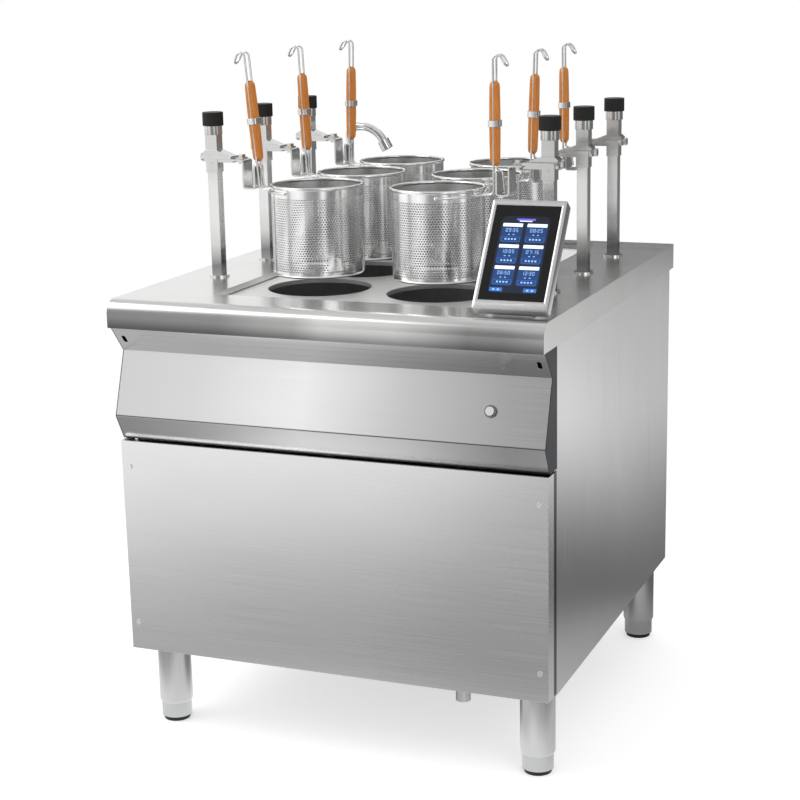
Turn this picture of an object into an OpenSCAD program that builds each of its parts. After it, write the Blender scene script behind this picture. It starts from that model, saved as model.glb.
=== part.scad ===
// Six-basket pasta cooker with automatic lifts, seen with its baskets raised.
// The origin is on the floor under the middle of the worktop. +X is the
// machine's right as one faces it, +Y its rear and +Z up. Millimetres.

/* [Worktop and casing] */
// Width of the worktop
body_w = 800; // [760:10:900]
// Depth of the worktop, from the rounded front edge to the rear edge
body_d = 880; // [860:10:960]
// Height of the worktop above the floor
top_h = 815; // [790:5:880]
// Height of the worktop's turned-down edge
skirt_h = 49; // [40:1:60]
// Radius of the rounded front edge
bullnose_r = 26; // [14:1:30]
// Thickness of the casing's sheets
sheet = 1.5; // [1:0.1:2.5]
// Height of the casing's underside above the floor
casing_z = 150; // [120:5:180]
// Step from the worktop's edge in to the side panels
side_inset = 5; // [3:1:10]
// Step from the worktop's rear edge in to the back panel
rear_inset = 11; // [10:1:30]
// Step from the worktop's front edge back to the front panel
front_inset = 24; // [18:1:30]
// Depth of the front panel's folded sides
panel_return = 46; // [30:1:60]
// Height of the front panel's lower edge above the casing's underside
panel_lift = 11; // [5:1:20]
// Shadow gap between the fascia's lip and the front panel's upper edge
lip_gap = 3; // [1:0.5:5]
// Diameter of the front panel's screw heads
screw_head_d = 9; // [6:1:12]

/* [Fascia] */
// Height of the slanted strip under the worktop
strip_h = 49; // [35:1:60]
// Height of the fascia's main face
fascia_h = 112.5; // [90:0.5:130]
// Height of the lip under the main face
lip_h = 45.5; // [30:0.5:60]
// Step from the worktop's front edge to the strip's upper fold
strip_tuck = 9; // [5:1:14]
// Step from the worktop's front edge to the valley fold
valley_in = 49; // [35:1:60]
// Step from the worktop's front edge to the lower ridge
ridge_in = 10; // [5:1:20]
// Step from the worktop's front edge to the lip's lower edge
lip_in = 34; // [30:1:45]
// Length of the oblong slots near the strip's ends
slot_l = 18; // [10:1:26]
// Width of those slots
slot_w = 8; // [5:1:12]
// Distance of each slot from the fascia's end
slot_inset = 16; // [12:1:30]
// Distance of the power button from the right end of the worktop
button_inset = 100; // [60:5:200]
// Diameter of the power button's ring
ring_d = 21; // [17:1:26]
// Diameter of the power button
button_d = 15; // [11:1:16]
// Travel of the power button
button_travel = 2.5; // [1.5:0.5:3]

/* [Recess, cover and tank] */
// Width of the sunk recess
recess_w = 490; // [480:5:520]
// Margin in front of the recess
recess_front = 106; // [90:1:120]
// Margin behind the recess
recess_rear = 35; // [30:1:45]
// Depth of the cover plate below the worktop
cover_drop = 11.5; // [6:0.5:16]
// Thickness of the cover plate
cover_t = 2; // [1.5:0.1:3]
// Gap between the cover plate and the recess wall
cover_gap = 3; // [1:0.5:6]
// Width of the ledge that carries the cover plate
ledge_w = 14; // [10:1:18]
// Clearance between a basket's wall and the hole that it goes through
hole_gap = 11.5; // [9:0.5:14]
// Depth of each hole's turned-down collar
hole_lip = 8; // [5:1:12]
// Depth of the water tank below the ledge
tank_depth = 232; // [200:2:250]
// Thickness of the tank's walls
tank_wall = 2; // [1.5:0.1:3]
// Diameter of the heating tubes
heater_d = 12; // [8:1:16]
// Distance between the two legs of a heating tube
heater_span = 70; // [50:2:80]
// Outer diameter of the drain pipe
drain_d = 27; // [20:1:34]
// Height of the drain pipe's open end above the floor
drain_end = 77; // [60:1:110]

/* [Stations] */
// Distance from a basket's wall to the axis of its lift post
arm_reach = 122.5; // [118:0.5:130]
// Distance between rows of baskets
row_pitch = 208; // [205:1:214]
// Distance of the middle row behind the middle of the worktop
row_shift = 51; // [45:1:55]

/* [Baskets] */
// Outer radius of a basket's wall
basket_r = 83.5; // [78:0.5:85]
// Height of a basket from its floor to the middle of its rim
basket_h = 161; // [140:1:175]
// Thickness of a basket's wall
basket_wall = 1.5; // [1:0.1:2]
// Diameter of the rim wire
rim_d = 6; // [4:0.5:7]
// Height of the raised basket's floor above the worktop
basket_lift = 16; // [12:1:30]
// Diameter of the handle wires
wire_d = 4; // [3:0.25:4.5]
// Diameter of the hook wire
hook_d = 4.5; // [3:0.25:5]
// Bend radius of the hook over its lip
hook_r = 6.5; // [6:0.25:8]
// Distance of the handle wires from the basket's wall
handle_gap = 25.5; // [24:0.5:28]
// Distance between the two handle wires
wire_span = 18; // [16:0.5:20]
// Offset of the handle towards the machine's front
handle_front = 6; // [0:1:8]
// Length of the straight handle wires above their foot, at the left
handle_left_l = 229; // [210:1:245]
// Length of the straight handle wires above their foot, at the right
handle_right_l = 221; // [205:1:240]
// Length of the wooden grip
grip_l = 146; // [130:1:160]
// Width of the wooden grip
grip_w = 23; // [22.5:0.5:26]
// Thickness of the whole grip
grip_t = 17.5; // [15:0.5:20]
// Gap between the grip's two halves
grip_gap = 2.5; // [1:0.25:3]
// Height of the grip's lower end above the foot of the handle
grip_rise = 40; // [30:1:46]
// Height of the metal clip round the grip
clip_h = 11; // [8:1:16]

/* [Lifts] */
// Width of the square lift posts
post_w = 20; // [18:0.5:22]
// Wall of the post's square tube
post_wall = 1.5; // [1:0.1:2.5]
// Travel of a lift, from raised to lowered
lift_travel = 150; // [120:5:155]
// Height of the arm's upper face above the worktop when raised
arm_rise = 226; // [215:1:240]
// Thickness of the arm's plate
arm_t = 5; // [4:0.5:6]
// Depth of the arm in front of the post's axis
arm_front = 21; // [18:1:24]
// Depth of the arm behind the post's axis
arm_rear = 15; // [14:1:20]
// Thickness of the bent strap that carries the basket
strap_t = 3; // [2:0.25:4]
// Depth of the strap's channel below the arm's upper face
strap_drop = 59; // [55:1:62]
// Clear width of the strap's channel
channel_w = 19.5; // [18:0.5:21]
// Radius of the round collar on top of a post
collar_r = 16.5; // [15:0.5:18]
// Height of the round collar
collar_h = 21; // [16:1:26]
// Height of the post's square neck between the arm and the collar
neck_h = 38; // [30:1:50]
// Radius of the black knob
knob_r = 18; // [17:0.5:20]
// Height of the black knob
knob_h = 20; // [16:1:26]
// Radius of the round flange at a post's foot
flange_r = 18; // [17:0.5:22]
// Width of the lift drive's square casing
drive_w = 50; // [44:1:56]

/* [Touch screen] */
// Width of the screen's housing
screen_w = 129; // [110:1:140]
// Length of the screen's housing
screen_l = 201; // [170:1:220]
// Thickness of the screen's housing
screen_t = 23; // [18:1:28]
// Lean of the screen back from upright, in degrees
screen_tilt = 35.6; // [25:0.2:45]
// Step from the worktop's right edge in to the screen
screen_inset = 5; // [4:1:20]
// Step from the worktop's front edge back to the screen's lower edge
screen_front = 32; // [30:1:50]
// Margin beside the glass
bezel_side = 8; // [6:0.5:12]
// Margin above the glass
bezel_top = 11; // [8:0.5:16]
// Margin below the glass
bezel_low = 16; // [10:0.5:20]

/* [Tap] */
// Distance of the tap's axis from the recess's left edge
tap_inset = 37; // [30:1:45]
// Distance of the tap's axis from the worktop's rear edge
tap_rear = 64; // [58:1:70]
// Diameter of the spout's tube
tap_d = 17; // [14:0.5:20]
// Height of the spout's level stretch above the worktop
tap_rise = 234; // [215:1:260]
// Radius of the spout's bend over the riser
tap_bend = 22; // [18:1:26]
// Radius of the spout's falling curve
tap_curve = 56; // [45:1:60]
// Angle through which the spout falls, in degrees
tap_fall = 61; // [45:1:75]
// Diameter of the spout's nozzle
nozzle_d = 25; // [18:0.5:28]
// Length of the spout's nozzle
nozzle_l = 20; // [12:1:24]

/* [Legs] */
// Outer diameter of the leg tubes
leg_d = 62; // [50:1:70]
// Outer diameter of the adjustable feet
foot_d = 56; // [44:1:60]
// Height of the leg tube's lower end above the floor
foot_show = 36; // [26:1:50]
// Height of the foot's rubber base
pad_h = 8; // [5:1:12]
// Distance of the legs from the worktop's side edges
leg_side = 43; // [38:1:60]
// Distance of the front legs from the worktop's front edge
leg_front = 99; // [80:1:120]
// Distance of the rear legs from the worktop's rear edge
leg_rear = 84.5; // [60:0.5:110]

/* [Hidden] */
$fn = 64;

// Named clearances and the overrun of every cut
over = 1;
joint_gap = 0.1;
slide_fit = 0.15;
turn_fit = 0.05;
seat_gap = 0.3;

// Outer faces of the casing
side_x = body_w / 2 - side_inset;
side_in = side_x - sheet;
front_y = -body_d / 2;
rear_y = body_d / 2;
panel_y = front_y + front_inset;
side_front = panel_y + panel_return + cover_gap;
back_y = rear_y - rear_inset;
back_in = back_y - sheet;
under_top = top_h - sheet;
panel_half = body_w / 2 - joint_gap;

// Levels of the fascia's folds, from its top down
fascia_top = top_h - skirt_h;
valley_z = fascia_top - strip_h;
ridge_z = valley_z - fascia_h;
lip_z = ridge_z - lip_h;
fascia_tail = 12;
strip_a = [front_y + strip_tuck, fascia_top];
strip_b = [front_y + valley_in, valley_z];
strip_c = [front_y + ridge_in, ridge_z];
strip_d = [front_y + lip_in, lip_z];
fascia_lean = atan2(valley_in - ridge_in, fascia_h);
strip_lean = atan2(valley_in - strip_tuck, strip_h);
slot_x = panel_half - slot_inset;
slot_y = (strip_a[0] + strip_b[0]) / 2;
slot_z = (strip_a[1] + strip_b[1]) / 2;

// Recess, ledge and tank
recess_y0 = front_y + recess_front;
recess_y1 = rear_y - recess_rear;
cover_z = top_h - cover_drop;
ledge_z = cover_z - cover_t;
ledge_low = ledge_z - sheet;
tank_x = recess_w / 2 - ledge_w;
tank_y0 = recess_y0 + ledge_w;
tank_y1 = recess_y1 - ledge_w;
tank_low = ledge_low - tank_depth;
tank_floor = tank_low + tank_wall;
hole_rim = 1.5;

// Rows and stations. What is left of the width goes partly between the two
// columns of baskets and partly beside the posts
sides = [-1, 1];
rows = [0, 1, 2];
post_room = 29;
middle_share = 67 / 163;
spare_w = body_w / 2 - 2 * basket_r - arm_reach - post_room;
basket_x = spare_w * middle_share + basket_r;
post_x = basket_x + basket_r + arm_reach;
hole_r = basket_r + hole_gap;
function row_y(row) = row_shift + (row - 1) * row_pitch;

// Basket and handle levels, from the basket's axis
basket_z = top_h + basket_lift;
rim_z = basket_z + basket_h;
hug_drop = 9;
hug_d = 5.2;
hug_z = rim_z - hug_drop;
hug_r = basket_r + hug_d / 2 - seat_gap;
hug_angle = 72;
hug_end_d = 7.5;
basket_chamfer = 5;
handle_x = basket_r + handle_gap;
splay_r = 10;
bend_x = handle_x - splay_r;
foot_l = bend_x - hug_r + hug_d / 4;
arch_r = 8;
arch_turn = 150;
arch_tail = 7;
base_z = casing_z + panel_lift + sheet + joint_gap;
hook_rise = 36;
hook_z = hug_z + hook_rise;
hook_splay = 7;
hook_leg = 29;
grip_pillow_r = 20;
grip_taper = 1.8;
grip_taper_l = 46;
grip_crown = 0.5;
bead_over = 0.25;
weld_gap = 0.3;
clip_t = 0.9;
// Lean of each handle away from the machine's centre, front to rear, in degrees
lean_left_shares = [5, 2.5, -1.5];
lean_right_shares = [0, 2, -0.5];

// Lift levels, all for the raised lift
arm_z = top_h + arm_rise;
plate_low = arm_z - arm_t;
neck_top = arm_z + neck_h;
collar_top = neck_top + collar_h;
stud_r = 5;
stud_h = 12;
knob_chamfer = 1.2;
post_below = 215;
post_low = top_h - post_below;
post_half = post_w / 2;
guide_h = 25;
sleeve_wall = 1.6;
sleeve_half = post_half + joint_gap + sleeve_wall;
sleeve_below = 26;
hub_half = 13;
hub_rise = 10;
hub_inner = 38;
hub_outer = 18;
hub_shoulder = 5;
boss_low = 6;
boss_half = 9;
plate_end = 44;
plate_taper = 14;
plate_tip = 5;
rib_h = 7;
rib_half = 11;
tongue_t = 2.5;
tongue_half = 10;
tongue_over = 13;
strap_r = 6;
bolt_r = 4;
bolt_head_r = 7.5;
bolt_head_h = 5.3;
nut_h = 6.5;
clamp_show = 2.5;
pin_head_r = 2.2;
pin_head_h = 0.6;
pin_drops_shares = [0.35, 0.82];

// The strap's channel is set from the basket's hook
lip_in_x = basket_x + handle_x + hook_r - strap_t / 2;
lip_out_x = lip_in_x + strap_t;
drop_in_x = lip_out_x + channel_w;
drop_out_x = drop_in_x + strap_t;
shelf_z = arm_z - strap_drop;
lip_top = hook_z + hook_r - hook_d / 2 - 2 * seat_gap;
strap_bolt_x = drop_in_x + tongue_over;
clamp_z = plate_low + boss_low / 4;

// Flanges and lift drives
flange_h = 3.5;
spigot_r = 15;
spigot_l = 25;
drive_wall = 3;
drive_base = 30;
drive_spare = 120;
drive_low = top_h - post_below - lift_travel - drive_spare - drive_base;
motor_r = 24;
motor_h = 110;

// Frame
tube = 30;
tube_wall = 2;
front_bearer_y = tank_y0;
rear_bearer_y = row_y(2) + drive_w / 2 + tube / 2;
rail_low = under_top - tube;
rail_share = 20 / 37;
rail_w = (side_in - post_x - spigot_r) * rail_share;

// Drain
drain_x = 190;
drain_gap = 6.5;
drain_r = drain_d / 2;
drain_wall = 2;
drain_set = 16.5;
drain_y = front_bearer_y + tube + drain_set + drain_r;
valve_z = 235;
valve_r = 21;
valve_h = 44;
stem_r = 5;
stem_out = 34;
lever_l = 95;
lever_w = 16;
lever_t = 4;

// Heating tubes
heater_rise = 20;
heater_z = tank_floor + heater_rise;
heater_end = 60;
heater_pitch = 140;

// Control box
box_w = 300;
box_d = 50;
box_h = 150;
box_x = 40;
box_drop = 20;
box_z = ridge_z - box_drop;

// Screws of the front panel
screw_side = 15;
screw_low = 62;
screw_high = 358;
screw_h = 2.5;

// Power button
button_x = body_w / 2 - button_inset;
button_drop = 58;
ring_h = 3;
barrel_l = 18;
button_proud = 1.5;
button_show = button_travel + button_proud;
button_r = button_d / 2;

// Screen
screen_x0 = body_w / 2 - screen_inset - screen_w;
screen_clear = 1.5;
screen_z = top_h + screen_t * sin(screen_tilt) + screen_clear;
glass_t = 2;
glass_set = 0.6;
stand_w = 70;
stand_t = 3;
stand_foot = 62;
stand_reach = 90;

// Tap
tap_x = -recess_w / 2 - tap_inset;
tap_y = rear_y - tap_rear;
tap_base_r = 19;
tap_base_h = 6;
tap_body_r = 14;
tap_body_h = 46;
tap_tail_r = 10;
tap_tail_l = 40;
tap_socket = 16;
tap_level = 5;

// Legs
leg_wall = 2.5;
leg_chamfer = 5;
foot_fit = 0.3;
foot_inside = 70;
leg_x = body_w / 2 - leg_side;
leg_y0 = front_y + leg_front;
leg_y1 = rear_y - leg_rear;

// Rear vents and inlets
vent_w = 90;
vent_h = 6;
vent_pitch = 16;
vents = 8;
vent_x = 190;
vent_z = 250;
inlet_r = 10;
inlet_out = 9;
inlet_x = 300;
inlet_z = 300;
gland_r = 8;
panel_fold = 14;

// Shared shapes

// A box between two corners
module slab(low, high) {
    translate(low) cube([high[0] - low[0], high[1] - low[1], high[2] - low[2]]);
}

// An outline drawn in Y and Z, drawn out along X from x0 to x1
module along_x(x0, x1) {
    translate([x0, 0, 0]) rotate([90, 0, 90]) linear_extrude(x1 - x0) children();
}

// An outline drawn in X and Z, drawn out along Y from y0 to y1
module along_y(y0, y1) {
    translate([0, y1, 0]) rotate([90, 0, 0]) linear_extrude(y1 - y0) children();
}

// A round bar along X, Y or Z
module bar_x(x0, x1, r) {
    translate([x0, 0, 0]) rotate([0, 90, 0]) cylinder(h = x1 - x0, r = r);
}

module bar_y(y0, y1, r) {
    translate([0, y0, 0]) rotate([-90, 0, 0]) cylinder(h = y1 - y0, r = r);
}

// Part of a ring of round wire, flat in X and Y, from one angle on
module wire_arc(ring_r, wire_r, from, turn) {
    rotate([0, 0, from]) rotate_extrude(angle = turn) translate([ring_r, 0]) circle(r = wire_r);
}

// The same ring stood up in X and Z
module wire_arc_up(ring_r, wire_r, from, turn) {
    rotate([90, 0, 0]) wire_arc(ring_r, wire_r, from, turn);
}

// A straight stretch of wire up Z; what follows starts at its end
module rod(l, wire_r) {
    translate([0, 0, weld_gap]) cylinder(h = l - 2 * weld_gap, r = wire_r);
    translate([0, 0, l]) children();
}

// A bend in a wire from Z towards X, or away from X where the turn is negative
module bend(ring_r, wire_r, turn) {
    flip = turn < 0 ? 180 : 0;
    swing = abs(turn);
    trim = atan2(weld_gap, ring_r);
    rotate([0, 0, flip]) {
        sphere(r = wire_r + bead_over);
        translate([ring_r, 0, 0]) wire_arc_up(ring_r, wire_r, 180 - swing + trim, swing - 2 * trim);
        translate([ring_r - ring_r * cos(swing), 0, ring_r * sin(swing)]) rotate([0, swing, 0]) {
            sphere(r = wire_r + bead_over);
            rotate([0, 0, flip]) children();
        }
    }
}

// Puts a right-hand station's piece on either side of its row
module at_station(side, row) {
    translate([0, row_y(row), 0]) mirror([side < 0 ? 1 : 0, 0, 0]) children();
}

// Worktop

// The worktop's outer form, drawn in by the sheet for its inside
module worktop_form(inset, low) {
    r = bullnose_r - inset;
    half = body_w / 2 - inset;
    y0 = front_y + inset;
    y1 = rear_y - inset;
    z1 = top_h - inset;
    slab([-half, y0 + r, low], [half, y1, z1]);
    slab([-half, y0, low], [half, y0 + r, z1 - r]);
    intersection() {
        translate([0, y0 + r, z1 - r]) bar_x(-half, half, r);
        slab([-half, y0, z1 - r], [half, y0 + r, z1]);
    }
}

module recess_box(inset, low, high) {
    slab([-recess_w / 2 + inset, recess_y0 + inset, low], [recess_w / 2 - inset, recess_y1 - inset, high]);
}

module worktop() {
    color("silver") difference() {
        union() {
            difference() {
                worktop_form(0, fascia_top);
                worktop_form(sheet, fascia_top - over);
            }
            recess_box(-sheet, ledge_low, top_h);
        }
        recess_box(0, ledge_z, top_h + over);
        recess_box(ledge_w, ledge_low - over, ledge_z + over);
        for (side = sides, row = rows) {
            translate([side * post_x, row_y(row), under_top - over])
                cylinder(h = sheet + 2 * over, r = spigot_r + slide_fit);
        }
        translate([tap_x, tap_y, under_top - over]) cylinder(h = sheet + 2 * over, r = tap_tail_r + slide_fit);
    }
}

module cover_plate() {
    color("gainsboro") difference() {
        union() {
            recess_box(cover_gap, ledge_z, cover_z);
            for (side = sides, row = rows) {
                translate([side * basket_x, row_y(row), cover_z - hole_lip])
                    cylinder(h = hole_lip, r = hole_r + hole_rim);
            }
        }
        for (side = sides, row = rows) {
            translate([side * basket_x, row_y(row), cover_z - hole_lip - over])
                cylinder(h = hole_lip + 2 * over, r = hole_r);
        }
    }
}

// Tank, heating and drain

module tank() {
    color("darkgray") difference() {
        slab([-tank_x - tank_wall, tank_y0 - tank_wall, tank_low],
            [tank_x + tank_wall, tank_y1 + tank_wall, ledge_low]);
        slab([-tank_x, tank_y0, tank_floor], [tank_x, tank_y1, ledge_low + over]);
        translate([drain_x, drain_y, tank_low - over]) cylinder(h = tank_wall + 2 * over, r = drain_r - drain_wall);
    }
}

// One heating tube: two legs from the tank's front wall and the bend that joins them
module heater_loop() {
    bend_y = tank_y1 - heater_end - heater_span / 2;
    for (side = sides) {
        translate([side * heater_span / 2, 0, 0]) bar_y(tank_y0, bend_y, heater_d / 2);
    }
    translate([0, bend_y, 0]) wire_arc(heater_span / 2, heater_d / 2, 0, 180);
}

module heating_elements() {
    color("dimgray") for (place = [-1, 0, 1]) {
        translate([place * heater_pitch, 0, heater_z]) heater_loop();
    }
}

module drain_pipe() {
    color("silver") translate([drain_x, drain_y, 0]) difference() {
        union() {
            translate([0, 0, drain_end]) cylinder(h = tank_low - drain_end, r = drain_r);
            translate([0, 0, valve_z - valve_h / 2]) cylinder(h = valve_h, r = valve_r);
            translate([0, 0, valve_z]) bar_y(-stem_out, 0, stem_r);
        }
        translate([0, 0, drain_end - over]) cylinder(h = tank_low - drain_end + 2 * over, r = drain_r - drain_wall);
    }
}

// The lever turns on the valve's stem, which points to the front
module valve_handle() {
    hub_y = -stem_out - stem_r;
    color("firebrick") translate([drain_x, drain_y, valve_z]) difference() {
        union() {
            bar_y(hub_y, -valve_r - lever_t, stem_r * 2);
            slab([-lever_w / 2, hub_y, 0], [lever_w / 2, hub_y + lever_t, lever_l]);
        }
        bar_y(-stem_out - joint_gap, -valve_r, stem_r + turn_fit);
    }
}

// Casing

// A flat side panel with folded front, rear and lower edges
module side_panel() {
    slab([side_in, side_front, casing_z], [side_x, back_y, under_top]);
    slab([side_in - panel_fold, side_front, casing_z + tube], [side_in, side_front + sheet, rail_low]);
}

module side_panel_right() {
    color("lightgray") side_panel();
}

module side_panel_left() {
    color("lightgray") mirror([1, 0, 0]) side_panel();
}

module back_panel() {
    color("silver") difference() {
        union() {
            slab([-side_in, back_in, casing_z], [side_in, back_y, under_top]);
            for (side = sides) {
                translate([side * inlet_x, 0, inlet_z]) bar_y(back_in, back_y + inlet_out, inlet_r);
            }
        }
        translate([-inlet_x, 0, inlet_z]) bar_y(back_in - over, back_y + inlet_out + over, gland_r);
        translate([inlet_x, 0, inlet_z]) bar_y(back_in - over, back_y + inlet_out + over, inlet_r - drain_wall);
        for (side = sides, i = [0 : vents - 1]) {
            translate([side * vent_x - vent_w / 2, back_in - over, vent_z + i * vent_pitch])
                cube([vent_w, sheet + 2 * over, vent_h]);
        }
    }
}

module base_panel() {
    color("silver") difference() {
        slab([-side_in, panel_y + sheet + joint_gap, base_z], [side_in, back_in, base_z + sheet]);
        translate([drain_x, drain_y, base_z - over]) cylinder(h = sheet + 2 * over, r = drain_r + drain_gap);
    }
}

module front_panel() {
    low = casing_z + panel_lift;
    top = lip_z - lip_gap;
    color("silver") difference() {
        slab([-panel_half, panel_y, low], [panel_half, panel_y + panel_return, top]);
        slab([-panel_half + sheet, panel_y + sheet, low + sheet],
            [panel_half - sheet, panel_y + panel_return + over, top - sheet]);
        slab([-panel_half + sheet, panel_y + sheet + panel_fold, low - over],
            [panel_half - sheet, panel_y + panel_return + over, top + over]);
    }
}

module panel_screws() {
    color("gray") for (side = sides, rise = [screw_low, screw_high]) {
        translate([side * (body_w / 2 - screw_side), panel_y, casing_z + rise]) difference() {
            bar_y(-screw_h, -joint_gap, screw_head_d / 2);
            slab([-screw_head_d, -screw_h - over, -screw_h / 4], [screw_head_d, -screw_h / 2, screw_h / 4]);
        }
    }
}

// The folded sheet's section: strip, main face and lip
module fascia_outline() {
    polygon([strip_a, strip_b, strip_c, strip_d,
        strip_d + [sheet, 0], strip_c + [sheet, 0], strip_b + [sheet, 0], strip_a + [sheet, 0]]);
    translate(strip_a) square([sheet, fascia_tail]);
}

// Places a piece on the fascia's main face, with +Z pointing out of it
module on_fascia() {
    y = strip_b[0] - button_drop * tan(fascia_lean);
    z = strip_b[1] - button_drop;
    translate([button_x, y, z]) rotate([90 - fascia_lean, 0, 0]) children();
}

module fascia() {
    color("silver") difference() {
        along_x(-panel_half + sheet, panel_half - sheet) fascia_outline();
        for (side = sides) {
            translate([side * slot_x, slot_y, slot_z]) rotate([strip_lean, 0, 0]) {
                slab([-slot_w / 2, -slot_w, -slot_l / 2 + slot_w / 2], [slot_w / 2, slot_w, slot_l / 2 - slot_w / 2]);
                for (end = sides) {
                    translate([0, 0, end * (slot_l - slot_w) / 2]) bar_y(-slot_w, slot_w, slot_w / 2);
                }
            }
        }
        on_fascia() translate([0, 0, -sheet - over]) cylinder(h = sheet + 2 * over, r = button_r + sheet + slide_fit);
    }
}

// Side plates that close the fascia's ends back to the side panels
module fascia_ends() {
    color("dimgray") for (side = sides) {
        x0 = side < 0 ? -panel_half : panel_half - sheet;
        along_x(x0, x0 + sheet) polygon([strip_a, strip_b, strip_c, strip_d,
            [side_front - joint_gap, lip_z], [side_front - joint_gap, fascia_top]]);
    }
}

module button_ring() {
    color("silver") on_fascia() difference() {
        union() {
            translate([0, 0, joint_gap]) cylinder(h = ring_h, r = ring_d / 2);
            translate([0, 0, -barrel_l]) cylinder(h = barrel_l + ring_h, r = button_r + sheet);
        }
        translate([0, 0, -barrel_l + sheet]) cylinder(h = barrel_l + ring_h + over, r = button_r + turn_fit);
    }
}

module power_button() {
    color("gainsboro") on_fascia()
        translate([0, 0, -barrel_l / 2]) cylinder(h = barrel_l / 2 + ring_h + button_show, r = button_r);
}

// Frame, legs and feet

// One tube of the frame between two corners, hollow along the axis given
module frame_tube(low, high, axis) {
    wall = [for (i = [0 : 2]) i == axis ? -over : tube_wall];
    difference() {
        slab(low, high);
        slab(low + wall, high - wall);
    }
}

module frame() {
    color("gray") {
        for (side = sides) {
            x0 = side < 0 ? -side_in : side_in - tube;
            frame_tube([x0, side_front + sheet, base_z + sheet],
                [x0 + tube, side_front + sheet + tube, rail_low], 2);
            frame_tube([x0, back_in - tube, base_z + sheet], [x0 + tube, back_in, rail_low], 2);
            rail_x = side < 0 ? -side_in : side_in - rail_w;
            frame_tube([rail_x, side_front + sheet, rail_low + joint_gap], [rail_x + rail_w, back_in, under_top], 1);
        }
        for (y0 = [front_bearer_y, rear_bearer_y]) {
            frame_tube([-side_in, y0, tank_low - tube], [side_in, y0 + tube, tank_low], 0);
        }
        frame_tube([-side_in + tube + joint_gap, side_front + sheet, box_z - tube],
            [side_in - tube - joint_gap, side_front + sheet + tube, box_z], 0);
    }
}

// Box for the electrical parts, open at its back, standing on the frame's front rail
module control_box() {
    y1 = side_front + sheet + tube;
    low = [-box_x - box_w / 2, y1 - box_d, box_z];
    high = [-box_x + box_w / 2, y1, box_z + box_h];
    color("slategray") difference() {
        slab(low, high);
        slab(low + [sheet, sheet, sheet], high + [-sheet, over, -sheet]);
    }
}

module at_legs() {
    for (side = sides, y = [leg_y0, leg_y1]) {
        translate([side * leg_x, y, 0]) children();
    }
}

module leg_tubes() {
    color("silver") at_legs() difference() {
        union() {
            translate([0, 0, foot_show + leg_chamfer])
                cylinder(h = base_z - foot_show - leg_chamfer, r = leg_d / 2);
            translate([0, 0, foot_show]) cylinder(h = leg_chamfer, r1 = foot_d / 2 + leg_wall / 2, r2 = leg_d / 2);
        }
        translate([0, 0, foot_show - over])
            cylinder(h = base_z - foot_show + over - leg_wall, r = foot_d / 2 + foot_fit);
    }
}

module foot(side, y) {
    color("dimgray") translate([side * leg_x, y, 0]) {
        translate([0, 0, pad_h]) cylinder(h = foot_show + foot_inside - pad_h, r = foot_d / 2);
        cylinder(h = pad_h, r1 = foot_d / 2 - pad_h / 2, r2 = foot_d / 2 - pad_h / 4);
    }
}

// Touch screen

// Places a piece in the screen's own frame: X across, Y back, Z up its face
module on_screen() {
    translate([screen_x0, front_y + screen_front, screen_z]) rotate([-screen_tilt, 0, 0]) children();
}

module screen_housing() {
    color("lightgray") on_screen() difference() {
        slab([0, 0, 0], [screen_w, screen_t, screen_l]);
        slab([bezel_side, -over, bezel_low], [screen_w - bezel_side, glass_t + glass_set, screen_l - bezel_top]);
    }
}

module screen_glass() {
    color("black") on_screen() slab([bezel_side + joint_gap, glass_set, bezel_low + joint_gap],
        [screen_w - bezel_side - joint_gap, glass_t + glass_set, screen_l - bezel_top - joint_gap]);
}

// A point of the screen's side view, given across its thickness and up its back
function screen_point(y, z) = [front_y + screen_front + y * cos(screen_tilt) + z * sin(screen_tilt),
    screen_z - y * sin(screen_tilt) + z * cos(screen_tilt)];

// A plate on the worktop and one on the housing's back, joined by a web
module screen_stand() {
    x0 = screen_inset + (screen_w - stand_w) / 2;
    x1 = body_w / 2 - x0;
    foot_y = front_y + screen_front + screen_t * cos(screen_tilt);
    web_y = screen_t + stand_t / 2;
    color("gray") {
        slab([x1 - stand_w, foot_y + stand_t, top_h], [x1, foot_y + stand_foot, top_h + stand_t]);
        on_screen() slab([(screen_w - stand_w) / 2, screen_t, stand_t * 3],
            [(screen_w + stand_w) / 2, screen_t + stand_t, stand_reach]);
        along_x(x1 - stand_w / 2 - stand_t, x1 - stand_w / 2 + stand_t) polygon([
            screen_point(web_y, stand_t * 4), screen_point(web_y, stand_reach - stand_t * 4),
            [foot_y + stand_foot - stand_t, top_h + stand_t / 2], [foot_y + stand_t * 4, top_h + stand_t / 2]]);
    }
}

// Tap

module tap_base() {
    color("gainsboro") translate([tap_x, tap_y, top_h]) difference() {
        union() {
            cylinder(h = tap_base_h, r = tap_base_r);
            cylinder(h = tap_body_h, r = tap_body_r);
            translate([0, 0, -tap_tail_l]) cylinder(h = tap_tail_l, r = tap_tail_r);
        }
        translate([0, 0, tap_body_h - tap_socket]) cylinder(h = tap_socket + over, r = tap_d / 2 + turn_fit);
    }
}

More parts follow.
